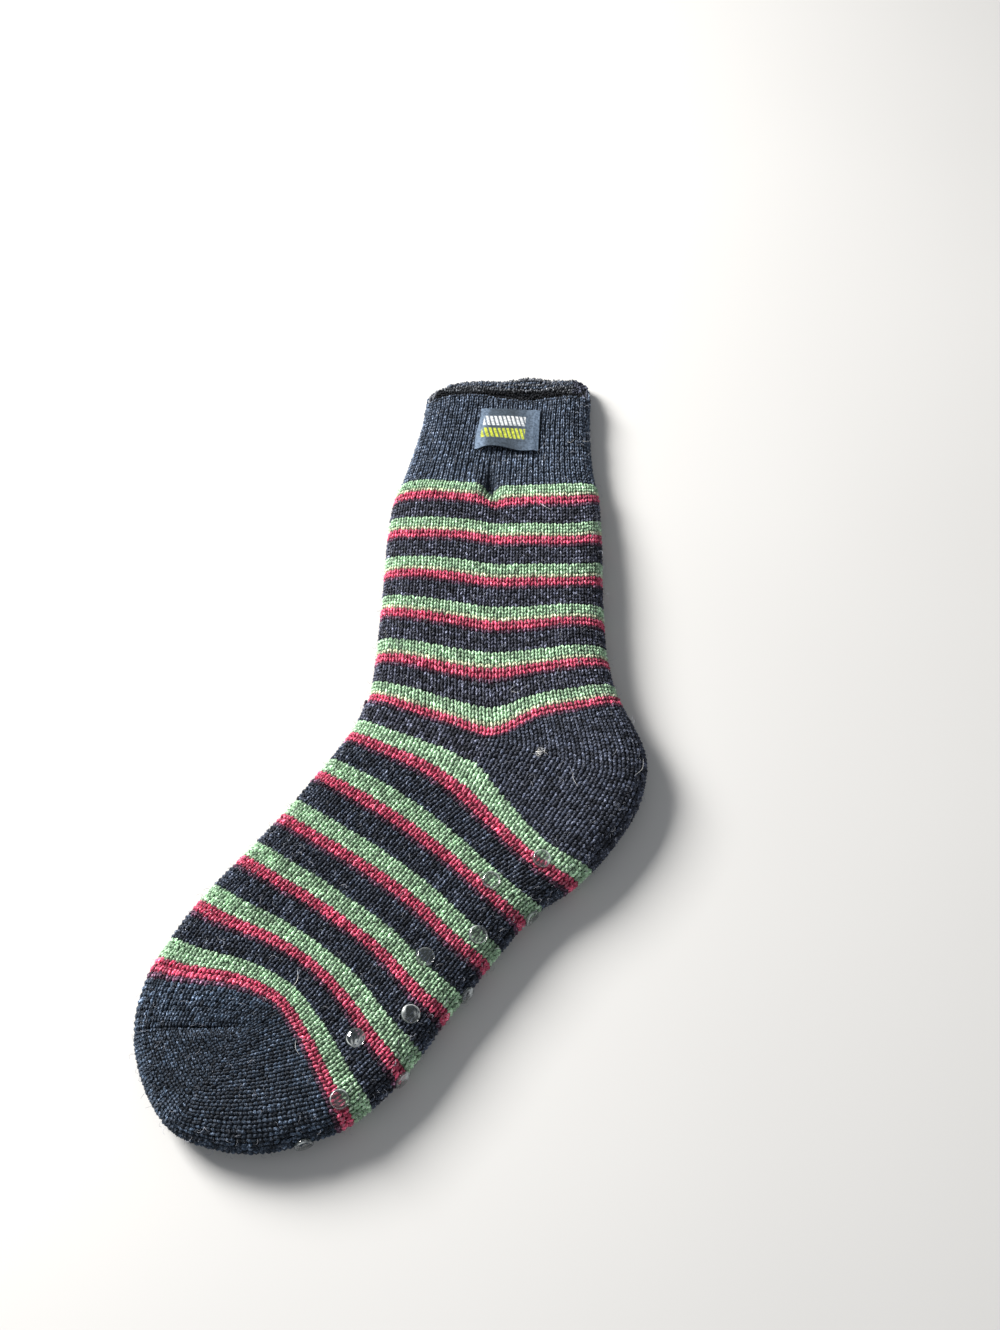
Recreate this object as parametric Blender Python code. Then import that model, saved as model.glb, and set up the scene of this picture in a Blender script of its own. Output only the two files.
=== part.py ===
"""Thermal slipper sock, empty and lying flat on its side, toe to the left and heel to the right.

The knitted body is one hollow solid, open at the mouth. Its plan comes from a table of stations, its height
from a rounded fold that runs round the edge, from the mouth over the toe and the heel back to the mouth.
Grip dots lie on the sole, on both sides of the fold, and a woven label lies on the cuff.
"""

import math

import bpy
import numpy as np

# Driving sizes of the lying sock, in metres
FOOT_LENGTH = 0.252
FOOT_WIDTH = 0.113
LEG_LENGTH = 0.217
LEG_WIDTH = 0.104
FOOT_TURN = math.radians(38.3)

# Height of the lying sock over the leg and foot, and at the slacker cuff
BODY_HEIGHT = 0.0205
CUFF_HEIGHT = 0.0155
# How far the rounded fold reaches in from the edge, and how square its curve is
FOLD_REACH = 0.024
FOLD_SQUARENESS = 2.3
# The fold line lies a little under mid-height, and the floor flattens the underside
FOLD_LEVEL = 0.46
UPPER_SHARE = 0.54
LOWER_SHARE = 0.51

# Knit thickness, and how far the ribbed cuff lies below the leg's face
WALL = 0.0034
CUFF_STEP = 0.0006
CUFF_STEP_LENGTH = 0.0012

# The lower side of the mouth runs on past the upper side, and its rim lifts off the floor
MOUTH_OVERHANG = 0.017
MOUTH_RIM_LIFT = 0.0022
MOUTH_BLEND = 0.045
# The rim lifts from this share of the leg's length, over this share of it
RIM_LIFT_FROM = 0.90
RIM_LIFT_OVER = 0.16
# How evenly the overhang spreads across the mouth: 0 is flat, 1 a half wave
OVERHANG_ROUNDNESS = 0.6

# Clear silicone grip dots
DOT_DIAMETER = 0.008
DOT_HEIGHT = 0.0010
DOT_PITCH = 0.0430
DOT_GAP = 0.0003
DOT_FLOOR_GAP = 0.0002
DOT_SEGMENTS = 14
# Raised strip under the sole where the hidden dots lie, measured round the fold
DOT_STRIP_START = 0.0
DOT_STRIP_END = 0.050
DOT_STRIP_BLEND = 0.010
# The strip runs between these shares of the foot's length
DOT_STRIP_FIRST = 0.02
DOT_STRIP_LAST = 0.72
# A dot's rings from its base to its top: share of the radius, and of the height
DOT_PROFILE = ((0.55, 0.0), (1.0, 0.0), (1.0, 0.35), (0.86, 0.80), (0.50, 0.97))

# Woven label on the cuff
LABEL_WIDTH = 0.0300
LABEL_HEIGHT = 0.0270
LABEL_THICKNESS = 0.0008
LABEL_GAP = 0.0003
LABEL_DROP = 0.0240
LABEL_ACROSS = 0.0065
LABEL_TILT = math.radians(-3.0)

# Fineness of the meshes
SIDE_SEGMENTS = 18
EDGE_SAMPLES = 10
FOLD_SAMPLES = 400
LABEL_COLUMNS = 8
LABEL_ROWS = 7
# How evenly a ring's points are spaced: the rest of the share bunches them at the folds
RING_EVENNESS = 0.35
# Step over the knit that gives the direction of its face
FACE_STEP = 0.0004
SHARP_ANGLE = math.radians(40)

# Stations from the mouth to the toe. Rows with "leg" are measured from the ankle crossing up the leg, rows
# with "foot" from it along the foot to the toe. along is a share of the length and across of the width, for
# the instep fold and for the heel fold. bow is how far the middle leads towards the toe, a share of the width.
#  frame  instep_along  instep_across  heel_along  heel_across  bow
STATIONS = (
    ("leg", 0.982, -0.365, 1.000, 0.470, 0.000),
    ("leg", 0.908, -0.380, 0.908, 0.460, 0.010),
    ("leg", 0.800, -0.425, 0.800, 0.465, 0.040),
    ("leg", 0.737, -0.452, 0.737, 0.480, 0.085),
    ("leg", 0.690, -0.478, 0.690, 0.490, 0.100),
    ("leg", 0.590, -0.500, 0.590, 0.500, 0.090),
    ("leg", 0.475, -0.510, 0.475, 0.505, 0.090),
    ("leg", 0.369, -0.518, 0.369, 0.503, 0.110),
    ("leg", 0.258, -0.528, 0.258, 0.512, 0.130),
    ("foot", 0.028, -0.593, -0.252, 0.204, 0.200),
    ("foot", 0.044, -0.584, -0.215, 0.354, 0.190),
    ("foot", 0.056, -0.575, -0.179, 0.460, 0.170),
    ("foot", 0.067, -0.566, -0.135, 0.520, 0.140),
    ("foot", 0.079, -0.558, -0.079, 0.562, 0.110),
    ("foot", 0.089, -0.549, -0.020, 0.575, 0.070),
    ("foot", 0.099, -0.544, 0.040, 0.575, 0.030),
    ("foot", 0.112, -0.540, 0.100, 0.556, 0.000),
    ("foot", 0.155, -0.529, 0.150, 0.520, 0.000),
    ("foot", 0.198, -0.522, 0.198, 0.502, 0.000),
    ("foot", 0.302, -0.509, 0.298, 0.502, 0.000),
    ("foot", 0.405, -0.509, 0.409, 0.508, -0.020),
    ("foot", 0.512, -0.509, 0.524, 0.520, -0.070),
    ("foot", 0.623, -0.473, 0.623, 0.487, -0.130),
    ("foot", 0.667, -0.438, 0.675, 0.427, -0.100),
    ("foot", 0.714, -0.376, 0.718, 0.360, -0.060),
    ("foot", 0.754, -0.288, 0.758, 0.272, -0.030),
    ("foot", 0.786, -0.170, 0.788, 0.157, 0.000),
    ("foot", 0.802, -0.075, 0.803, 0.068, 0.000),
    ("foot", 0.8075, 0.000, 0.8075, 0.000, 0.000),
)
# The ribbed cuff ends at this station, and the last station is the tip of the toe
CUFF_END_STATION = 3
# Heights follow the leg: the cuff's own height above the first share, the body's below the second
CUFF_HEIGHT_FROM = 0.85
BODY_HEIGHT_FROM = 0.45

# Rows of grip dots: name, share across the foot, side of the fold, first dot along the foot, number.
# The middle row lies on the fold itself.
DOT_ROWS = (
    ("middle", None, 0, 0.183, 4),
    ("upper_near", 0.412, 1, 0.102, 4),
    ("upper_far", 0.319, 1, 0.186, 3),
    ("lower_near", 0.412, -1, 0.102, 4),
    ("lower_far", 0.319, -1, 0.186, 3),
)

FOOT_ALONG = np.array([-math.sin(FOOT_TURN), -math.cos(FOOT_TURN)])
FOOT_ACROSS = np.array([math.cos(FOOT_TURN), -math.sin(FOOT_TURN)])


def clear_scene():
    for item in list(bpy.data.objects):
        bpy.data.objects.remove(item, do_unlink=True)


def smooth(value):
    value = np.clip(value, 0.0, 1.0)
    return value * value * (3.0 - 2.0 * value)


def leg_point(along, across):
    return np.array([across * LEG_WIDTH, along * LEG_LENGTH])


def foot_point(along, across):
    return FOOT_ALONG * along * FOOT_LENGTH + FOOT_ACROSS * across * FOOT_WIDTH


def curve_through(points, samples):
    """Catmull-Rom curve through the points, with this many steps between each two."""
    points = np.asarray(points)
    padded = np.vstack([2 * points[0] - points[1], points, 2 * points[-1] - points[-2]])
    out = []
    for i in range(1, len(padded) - 2):
        before, start, end, after = padded[i - 1:i + 3]
        for k in range(samples):
            t = k / samples
            out.append(
                0.5 * (2 * start + (end - before) * t
                       + (2 * before - 5 * start + 4 * end - after) * t ** 2
                       + (3 * start - before - 3 * end + after) * t ** 3)
            )
    out.append(padded[-2])
    return np.array(out)


def station_lines():
    """Instep points, heel points and bows of all stations, with one station added between each two."""
    instep, heel, bows = [], [], []
    for frame, instep_along, instep_across, heel_along, heel_across, bow in STATIONS:
        place = leg_point if frame == "leg" else foot_point
        width = LEG_WIDTH if frame == "leg" else FOOT_WIDTH
        instep.append(place(instep_along, instep_across))
        heel.append(place(heel_along, heel_across))
        bows.append([bow * width])
    return curve_through(instep, 2), curve_through(heel, 2), curve_through(bows, 2)[:, 0]


class Outline:
    """The fold line in plan, from the mouth along the instep, round the toe and the heel to the mouth."""

    def __init__(self, instep, heel):
        beyond = np.array([0.0, MOUTH_BLEND])
        stations = np.vstack([instep[:1] + beyond, instep, heel[-2::-1], heel[:1] + beyond])
        points = curve_through(stations, EDGE_SAMPLES // 2)
        steps = np.diff(points, axis=0)
        self.points = points
        self.length = np.concatenate([[0.0], np.cumsum(np.linalg.norm(steps, axis=1))])
        forward = np.gradient(points, axis=0)
        forward /= np.linalg.norm(forward, axis=1)[:, None]
        self.outward = np.stack([forward[:, 1], -forward[:, 0]], axis=1)
        middle = points.mean(axis=0)
        if np.sum((points - middle) * self.outward) < 0:
            self.outward = -self.outward

    def at(self, run):
        """Point and outward direction at a run along the outline."""
        point = np.stack([np.interp(run, self.length, self.points[:, k]) for k in range(2)], axis=-1)
        out = np.stack([np.interp(run, self.length, self.outward[:, k]) for k in range(2)], axis=-1)
        return point, out / np.linalg.norm(out, axis=-1, keepdims=True)

    def locate(self, plan):
        """Run along the outline, and depth inside it, of points in plan."""
        start, step = self.points[:-1], np.diff(self.points, axis=0)
        offset = plan[:, None, :] - start[None, :, :]
        share = np.clip(np.sum(offset * step, axis=2) / np.sum(step * step, axis=1), 0.0, 1.0)
        away = offset - share[:, :, None] * step
        distance = np.linalg.norm(away, axis=2)
        nearest = np.argmin(distance, axis=1)
        rows = np.arange(len(plan))
        run = self.length[nearest] + share[rows, nearest] * np.diff(self.length)[nearest]
        _, out = self.at(run)
        sign = np.where(np.sum(away[rows, nearest] * out, axis=1) > 0, -1.0, 1.0)
        return run, sign * distance[rows, nearest]


class Fold:
    """The rounded fold: reach in plan and rise, against the arc measured from the fold line."""

    def __init__(self):
        angle = np.linspace(0.0, math.pi / 2, FOLD_SAMPLES)
        power = 2.0 / FOLD_SQUARENESS
        self.reach = 1.0 - np.cos(angle) ** power
        self.rise = np.sin(angle) ** power
        steps = np.hypot(np.diff(self.reach) * FOLD_REACH, np.diff(self.rise) * BODY_HEIGHT / 2)
        self.arc = np.concatenate([[0.0], np.cumsum(steps)])
        self.spare = self.arc[-1] - FOLD_REACH

    def at(self, arc):
        return np.interp(arc, self.arc, self.reach), np.interp(arc, self.arc, self.rise)

    def arc_at_depth(self, depth):
        return np.where(depth < FOLD_REACH, np.interp(depth / FOLD_REACH, self.reach, self.arc), depth + self.spare)


class Body:
    """The sock's skins: points of the outer face, or of any face inset into the knit."""

    def __init__(self):
        self.instep, self.heel, self.bow = station_lines()
        self.outline = Outline(self.instep, self.heel)
        self.fold = Fold()
        toe_run = self.outline.length[-1] / 2
        foot_share = np.array([self.foot_along(run) for run in self.outline.length])
        behind = self.outline.length > toe_run
        self.sole_runs = self.outline.length[behind][::-1]
        self.sole_along = foot_share[behind][::-1]

    def foot_along(self, run):
        point, _ = self.outline.at(run)
        return float(point @ FOOT_ALONG)

    def sole_run(self, along):
        """Run along the outline where the sole's fold lies this far along the foot."""
        heel_tip = np.argmin(self.sole_along)
        return float(np.interp(along, self.sole_along[heel_tip:], self.sole_runs[heel_tip:]))

    def height_at(self, plan):
        share = (plan[..., 1] / LEG_LENGTH - BODY_HEIGHT_FROM) / (CUFF_HEIGHT_FROM - BODY_HEIGHT_FROM)
        return BODY_HEIGHT + (CUFF_HEIGHT - BODY_HEIGHT) * smooth(share)

    def rest_level(self, plan, run, arc):
        """Height of the underside where it lies: on the floor, over the hidden dots, or at the lifted rim."""
        lift = MOUTH_RIM_LIFT * smooth((plan[..., 1] / LEG_LENGTH - RIM_LIFT_FROM) / RIM_LIFT_OVER)
        first = self.sole_run(DOT_STRIP_FIRST * FOOT_LENGTH)
        last = self.sole_run(DOT_STRIP_LAST * FOOT_LENGTH)
        low, high = min(first, last), max(first, last)
        along = smooth((run - low) / DOT_STRIP_BLEND) * smooth((high - run) / DOT_STRIP_BLEND)
        around = smooth((arc - DOT_STRIP_START) / DOT_STRIP_BLEND)
        around = around * smooth((DOT_STRIP_END - arc) / DOT_STRIP_BLEND)
        return lift + (DOT_HEIGHT + DOT_GAP + DOT_FLOOR_GAP) * along * around

    def skin(self, run, arc, side, inset):
        """Point of the face that lies inset into the knit, at a run and an arc from the fold line."""
        reach, rise = self.fold.at(arc)
        edge, out = self.outline.at(run)
        deep = np.maximum(arc - self.fold.arc[-1], 0.0)
        depth = inset + (FOLD_REACH - inset) * reach + deep
        plan = edge - out * depth[..., None]
        height = self.height_at(plan)
        level = FOLD_LEVEL * height
        top = level + (UPPER_SHARE * height - inset) * rise
        floor = self.rest_level(plan, run, arc) + inset
        below = np.maximum(level - (LOWER_SHARE * height - inset) * rise, np.minimum(floor, level))
        z = np.where(np.asarray(side) > 0, top, below)
        return np.concatenate([plan, z[..., None]], axis=-1)

    def spread(self, run):
        """Point of the outline on the flattened knit, where the fold's spare arc lies outside the plan."""
        point, out = self.outline.at(run)
        return point + out * self.fold.spare

    def face(self, flat, side, inset=0.0):
        """Point of the skin over points of the flattened knit."""
        run, depth = self.outline.locate(flat)
        return self.skin(run, np.maximum(depth + self.fold.spare, 0.0), side, inset)

    def normal(self, flat, side):
        """Outward direction of the outer face over points of the flattened knit."""
        here = self.face(flat, side)
        east = self.face(flat + np.array([FACE_STEP, 0.0]), side) - here
        north = self.face(flat + np.array([0.0, FACE_STEP]), side) - here
        out = np.cross(east, north)
        out /= np.linalg.norm(out, axis=1)[:, None]
        return out * np.sign(out[:, 2:3]) * side


def knit_ring(body, index, inset, steps_in=0.0):
    """One closed ring of the knitted wall: over the upper side from instep to heel, and back underneath."""
    share = np.linspace(0.0, 1.0, SIDE_SEGMENTS + 1)
    share = RING_EVENNESS * share + (1 - RING_EVENNESS) * (0.5 - 0.5 * np.cos(math.pi * share))
    start_run, _ = body.outline.locate(body.instep[index:index + 1])
    end_run, _ = body.outline.locate(body.heel[index:index + 1])
    start, end = body.spread(start_run[0]), body.spread(end_run[0])
    chord = end - start
    towards_toe = np.array([chord[1], -chord[0]])
    towards_toe /= max(np.linalg.norm(towards_toe), 1e-9)
    flat = start + share[:, None] * chord
    flat = flat + towards_toe * ((body.bow[index] + steps_in) * 4 * share * (1 - share))[:, None]
    beyond = np.sin(math.pi * share) ** OVERHANG_ROUNDNESS
    fade = smooth(1.0 - (LEG_LENGTH - flat[:, 1]) / MOUTH_BLEND)
    upper = body.face(flat, 1, inset)
    lower_flat = flat.copy()
    lower_flat[:, 1] += MOUTH_OVERHANG * beyond * fade
    lower = body.face(lower_flat, -1, inset)
    return np.vstack([upper, lower[-2:0:-1]])


def cuff_inset(index):
    """The ribbed cuff lies a step below the leg's face."""
    return CUFF_STEP if index < 2 * CUFF_END_STATION else 0.0


def sock_mesh(body):
    count = len(body.instep)
    outer, inner = [], []
    for index in range(count - 1):
        inset = cuff_inset(index)
        outer.append(knit_ring(body, index, inset))
        inner.append(knit_ring(body, index, WALL + CUFF_STEP))
        if index == 2 * CUFF_END_STATION - 1:
            # The step itself: the cuff's last ring is repeated just before the leg's first ring
            last = 2 * CUFF_END_STATION
            outer.append(knit_ring(body, last, CUFF_STEP, -CUFF_STEP_LENGTH))
            inner.append(knit_ring(body, last, WALL + CUFF_STEP, -CUFF_STEP_LENGTH))
    size = len(outer[0])
    rings = outer + inner[::-1]
    points = np.vstack(rings)
    faces = []
    for r in range(len(outer) - 1):
        for half in (r, len(outer) + r):
            for k in range(size):
                a, b = half * size + k, half * size + (k + 1) % size
                faces.append((a, a + size, b + size, b))
    mouth_inner = (len(rings) - 1) * size
    for k in range(size):
        nxt = (k + 1) % size
        faces.append((k, nxt, mouth_inner + nxt, mouth_inner + k))
    toe_flat = body.spread(body.outline.locate(body.instep[-1:])[0][0])[None, :]
    for inset, ring in ((0.0, len(outer) - 1), (WALL + CUFF_STEP, len(outer))):
        tip = len(points)
        points = np.vstack([points, body.face(toe_flat, 1, inset)])
        for k in range(size):
            a, b = ring * size + k, ring * size + (k + 1) % size
            faces.append((a, tip, b) if inset == 0.0 else (a, b, tip))
    return points, faces


def dot_mesh(body, centre_flat, side, run=None):
    """A low dome whose base follows the knit, DOT_GAP above it."""
    angles = np.linspace(0.0, 2 * math.pi, DOT_SEGMENTS, endpoint=False)
    rows = [(np.zeros(1), np.zeros(1), 0.0)]
    for share, rise in DOT_PROFILE:
        radius = share * DOT_DIAMETER / 2
        rows.append((radius * np.cos(angles), radius * np.sin(angles), rise))
    rows.append((np.zeros(1), np.zeros(1), 1.0))
    points = []
    for x, y, rise in rows:
        lift = DOT_GAP + rise * DOT_HEIGHT
        if run is None:
            flat = centre_flat + np.stack([x, y], axis=1)
            points.append(body.face(flat, side) + body.normal(flat, side) * lift)
        else:
            near = np.abs(y)
            turn = np.where(y >= 0, 1, -1)
            points.append(body.skin(run + x, near, turn, -lift))
    points = np.vstack(points)
    faces = []
    n = DOT_SEGMENTS
    for k in range(n):
        nxt = (k + 1) % n
        faces.append((0, 1 + nxt, 1 + k))
        for ring in range(len(DOT_PROFILE) - 1):
            a, b = 1 + ring * n + k, 1 + ring * n + nxt
            faces.append((a, b, b + n, a + n))
        top = 1 + (len(DOT_PROFILE) - 1) * n
        faces.append((top + k, top + nxt, len(points) - 1))
    return points, faces


def label_mesh(body):
    """A thin plate that follows the cuff's face, LABEL_GAP above it."""
    centre = np.array([LABEL_ACROSS, LEG_LENGTH - LABEL_DROP])
    across = np.array([math.cos(LABEL_TILT), math.sin(LABEL_TILT)])
    up = np.array([-across[1], across[0]])
    grid = []
    for row in range(LABEL_ROWS + 1):
        for column in range(LABEL_COLUMNS + 1):
            x = (column / LABEL_COLUMNS - 0.5) * LABEL_WIDTH
            y = (row / LABEL_ROWS - 0.5) * LABEL_HEIGHT
            grid.append(centre + across * x + up * y)
    flat = np.array(grid)
    face, out = body.face(flat, 1), body.normal(flat, 1)
    lower = face + out * (LABEL_GAP - CUFF_STEP)
    upper = lower + out * LABEL_THICKNESS
    points = np.vstack([lower, upper])
    size = len(flat)
    wide = LABEL_COLUMNS + 1
    faces = []
    for row in range(LABEL_ROWS):
        for column in range(LABEL_COLUMNS):
            a = row * wide + column
            faces.append((a, a + wide, a + wide + 1, a + 1))
            faces.append((size + a, size + a + 1, size + a + wide + 1, size + a + wide))
    border = list(range(wide))
    border += [row * wide + LABEL_COLUMNS for row in range(1, LABEL_ROWS + 1)]
    border += [LABEL_ROWS * wide + column for column in range(LABEL_COLUMNS - 1, -1, -1)]
    border += [row * wide for row in range(LABEL_ROWS - 1, 0, -1)]
    for k, a in enumerate(border):
        b = border[(k + 1) % len(border)]
        faces.append((a, b, size + b, size + a))
    return points, faces


def material(name, colour, roughness, transmission=0.0):
    made = bpy.data.materials.new(name)
    made.use_nodes = True
    shader = made.node_tree.nodes["Principled BSDF"]
    shader.inputs["Base Color"].default_value = (*colour, 1.0)
    shader.inputs["Roughness"].default_value = roughness
    shader.inputs["Metallic"].default_value = 0.0
    shader.inputs["Transmission Weight"].default_value = transmission
    made.diffuse_color = (*colour, 1.0)
    return made


def add_object(name, points, faces, finish, place):
    mesh = bpy.data.meshes.new(name)
    mesh.from_pydata([tuple(p) for p in points], [], faces)
    mesh.materials.append(finish)
    mesh.shade_smooth()
    mesh.set_sharp_from_angle(angle=SHARP_ANGLE)
    thing = bpy.data.objects.new(name, mesh)
    thing.location = place
    bpy.context.scene.collection.objects.link(thing)
    return thing


def dots(body):
    """Name, points and faces of every grip dot."""
    for row, across, side, first, count in DOT_ROWS:
        for index in range(count):
            along = first * FOOT_LENGTH + index * DOT_PITCH
            name = f"grip_dot_{row}_{index + 1}"
            if across is None:
                points, faces = dot_mesh(body, None, 1, body.sole_run(along))
            else:
                centre = foot_point(along / FOOT_LENGTH, across)
                run, depth = body.outline.locate(centre[None, :])
                edge, out = body.outline.at(run[0])
                flat = edge - out * (body.fold.arc_at_depth(depth[0]) - body.fold.spare)
                points, faces = dot_mesh(body, flat, side)
            yield name, points, faces


def outward(points, faces):
    """The faces, turned so that the solid's volume is positive."""
    volume = 0.0
    for face in faces:
        for k in range(1, len(face) - 1):
            a, b, c = points[face[0]], points[face[k]], points[face[k + 1]]
            volume += float(np.dot(a, np.cross(b, c)))
    return faces if volume > 0 else [tuple(reversed(face)) for face in faces]


def main():
    clear_scene()
    body = Body()
    knit = material("knit", (0.040, 0.042, 0.055), 0.95)
    silicone = material("clear_silicone", (0.75, 0.80, 0.80), 0.15, 0.8)
    tape = material("woven_label", (0.10, 0.12, 0.17), 0.8)
    points, faces = sock_mesh(body)
    lowest, highest = points.min(axis=0), points.max(axis=0)
    place = (-(lowest[0] + highest[0]) / 2, -(lowest[1] + highest[1]) / 2, 0.0)
    add_object("sock", points, outward(points, faces), knit, place)
    for name, dot_points, dot_faces in dots(body):
        add_object(name, dot_points, outward(dot_points, dot_faces), silicone, place)
    label_points, label_faces = label_mesh(body)
    add_object("label", label_points, outward(label_points, label_faces), tape, place)


main()
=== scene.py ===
"""Striped thermal slipper sock, lying flat on its side.

The knit is laid out flat first, as courses and wales on the pressed sock, and then carried over the rounded
body. Every visible stitch is a pair of yarn legs on a backing whose dye is darkened as painted shade, with a
brushed lining inside the mouth.
"""

import math

import bmesh
import bpy
import numpy as np
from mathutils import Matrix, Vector


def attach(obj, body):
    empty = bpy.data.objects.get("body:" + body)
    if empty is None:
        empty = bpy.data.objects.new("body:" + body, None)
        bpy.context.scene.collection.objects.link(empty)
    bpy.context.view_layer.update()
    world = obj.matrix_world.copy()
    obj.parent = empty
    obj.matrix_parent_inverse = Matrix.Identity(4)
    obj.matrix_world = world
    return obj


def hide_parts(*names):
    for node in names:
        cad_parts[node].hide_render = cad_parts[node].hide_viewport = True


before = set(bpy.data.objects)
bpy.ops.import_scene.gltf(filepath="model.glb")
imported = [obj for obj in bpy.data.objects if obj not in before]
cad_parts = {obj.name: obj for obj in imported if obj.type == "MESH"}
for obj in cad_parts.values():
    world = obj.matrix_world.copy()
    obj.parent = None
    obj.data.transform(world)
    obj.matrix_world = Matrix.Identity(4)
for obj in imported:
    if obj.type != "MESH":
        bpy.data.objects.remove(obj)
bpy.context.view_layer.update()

MM = 0.001

# Sizes of the lying sock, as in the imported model, in metres
FOOT_LENGTH = 0.252
FOOT_WIDTH = 0.113
LEG_LENGTH = 0.217
LEG_WIDTH = 0.104
FOOT_TURN = math.radians(38.3)
BODY_HEIGHT = 0.0205
CUFF_HEIGHT = 0.0155
FOLD_REACH = 0.024
FOLD_SQUARENESS = 2.3
FOLD_LEVEL = 0.46
UPPER_SHARE = 0.54
LOWER_SHARE = 0.51
WALL = 0.0034
CUFF_STEP = 0.0006
MOUTH_RIM_LIFT = 0.0022
MOUTH_BLEND = 0.045
RIM_LIFT_FROM = 0.90
RIM_LIFT_OVER = 0.16
# How far the lower lip of the mouth stands beyond the upper one: share across, and mm
OVERHANG = (
    (0.0, 0.0), (0.02, 7.8), (0.06, 11.8), (0.14, 14.6), (0.26, 16.6), (0.45, 17.6), (0.53, 18.8), (0.58, 20.8),
    (0.67, 20.7), (0.72, 18.4), (0.79, 17.6), (0.90, 16.7), (0.945, 14.4), (0.965, 12.6), (0.98, 10.4),
    (0.992, 7.0), (1.0, 0.0),
)
DOT_DIAMETER = 0.008
DOT_HEIGHT = 0.0010
DOT_PITCH = 0.0430
DOT_GAP = 0.0003
DOT_FLOOR_GAP = 0.0002
DOT_STRIP_END = 0.050
DOT_STRIP_BLEND = 0.010
DOT_STRIP_FIRST = 0.02
DOT_STRIP_LAST = 0.72
LABEL_WIDTH = 0.0300
LABEL_HEIGHT = 0.0270
LABEL_DROP = 0.0240
LABEL_ACROSS = 0.0065
LABEL_TILT = math.radians(-3.0)
CUFF_HEIGHT_FROM = 0.85
BODY_HEIGHT_FROM = 0.45
EDGE_SAMPLES = 5
FOLD_SAMPLES = 400
POINTS_AT_ONCE = 4000
NEAR_FOLD = 0.002

# The ankle crossing, where leg and foot meet, in the model's frame
CROSSING = np.array([0.0380548, -0.0314946])

# Fold line of the sock, mouth to toe: shares of the leg's or foot's length and width, instep side and heel side
STATIONS = (
    ("leg", 0.982, -0.347, 1.000, 0.490),
    ("leg", 0.908, -0.370, 0.908, 0.482),
    ("leg", 0.800, -0.423, 0.800, 0.486),
    ("leg", 0.737, -0.456, 0.737, 0.500),
    ("leg", 0.690, -0.483, 0.690, 0.507),
    ("leg", 0.590, -0.503, 0.590, 0.510),
    ("leg", 0.475, -0.510, 0.475, 0.505),
    ("leg", 0.369, -0.518, 0.369, 0.503),
    ("leg", 0.258, -0.528, 0.258, 0.512),
    ("foot", 0.028, -0.593, -0.252, 0.204),
    ("foot", 0.044, -0.584, -0.215, 0.354),
    ("foot", 0.056, -0.575, -0.179, 0.460),
    ("foot", 0.067, -0.566, -0.135, 0.520),
    ("foot", 0.079, -0.558, -0.079, 0.562),
    ("foot", 0.089, -0.549, -0.020, 0.575),
    ("foot", 0.099, -0.544, 0.040, 0.575),
    ("foot", 0.112, -0.540, 0.100, 0.556),
    ("foot", 0.155, -0.529, 0.150, 0.520),
    ("foot", 0.198, -0.522, 0.198, 0.502),
    ("foot", 0.302, -0.509, 0.298, 0.502),
    ("foot", 0.405, -0.509, 0.409, 0.508),
    ("foot", 0.512, -0.509, 0.524, 0.520),
    ("foot", 0.623, -0.473, 0.623, 0.487),
    ("foot", 0.667, -0.438, 0.675, 0.427),
    ("foot", 0.714, -0.376, 0.718, 0.360),
    ("foot", 0.754, -0.288, 0.758, 0.272),
    ("foot", 0.786, -0.170, 0.788, 0.157),
    ("foot", 0.802, -0.075, 0.803, 0.068),
    ("foot", 0.8075, 0.000, 0.8075, 0.000),
)

# The knit: wales on each side of the sock, and the courses of a stripe repeat
SIDE_WALES = 38
REPEAT = 12
CUFF_COURSES = 27
FIRST_STRIPE = 32
LEG_STRIPES = 6
LEG_END = FIRST_STRIPE + REPEAT * (LEG_STRIPES - 1)
FOOT_START = LEG_END + REPEAT
FOOT_STRIPES = 5
FOOT_END = FOOT_START + REPEAT * FOOT_STRIPES
# Courses of a stripe on the cuff's side of its line: one red, then green ones
STRIPE_COURSES = 5

# Courses laid out on the pressed sock: course number, ends on the instep and heel fold as shares of the leg or
# foot, and how far the course leads towards the toe in mm at five places across (see BOW_PLACES)
BOW_PLACES = (0.0, 0.15, 0.35, 0.50, 0.65, 0.85, 1.0)
LEG_COURSES = (
    (0, "leg", 0.982, -0.347, 1.000, 0.490, (-1.3, -1.5, 1.4, 2.8, 0.9)),
    (9, "leg", 0.908, -0.370, 0.908, 0.482, (0.5, 0.9, 1.0, 0.9, 0.5)),
    (20, "leg", 0.800, -0.423, 0.800, 0.486, (1.0, 3.0, 4.5, 4.0, 2.5)),
    (27, "leg", 0.737, -0.456, 0.740, 0.500, (0.8, 3.5, 5.6, 5.2, 3.3)),
    (32, "leg", 0.693, -0.521, 0.705, 0.532, (1.1, 4.1, 6.5, 7.1, 6.3)),
    (44, "leg", 0.590, -0.544, 0.583, 0.544, (3.4, 4.4, 7.2, 7.4, 6.5)),
    (56, "leg", 0.475, -0.554, 0.461, 0.549, (2.5, 4.9, 7.3, 6.8, 5.2)),
    (68, "leg", 0.379, -0.561, 0.341, 0.547, (4.0, 6.8, 8.8, 6.9, 2.7)),
    (80, "leg", 0.258, -0.572, 0.246, 0.560, (3.7, 9.2, 11.3, 8.5, 3.9)),
    (92, "leg", 0.167, -0.592, 0.159, 0.603, (8.0, 17.4, 23.1, 13.0, 6.7)),
)
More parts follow.
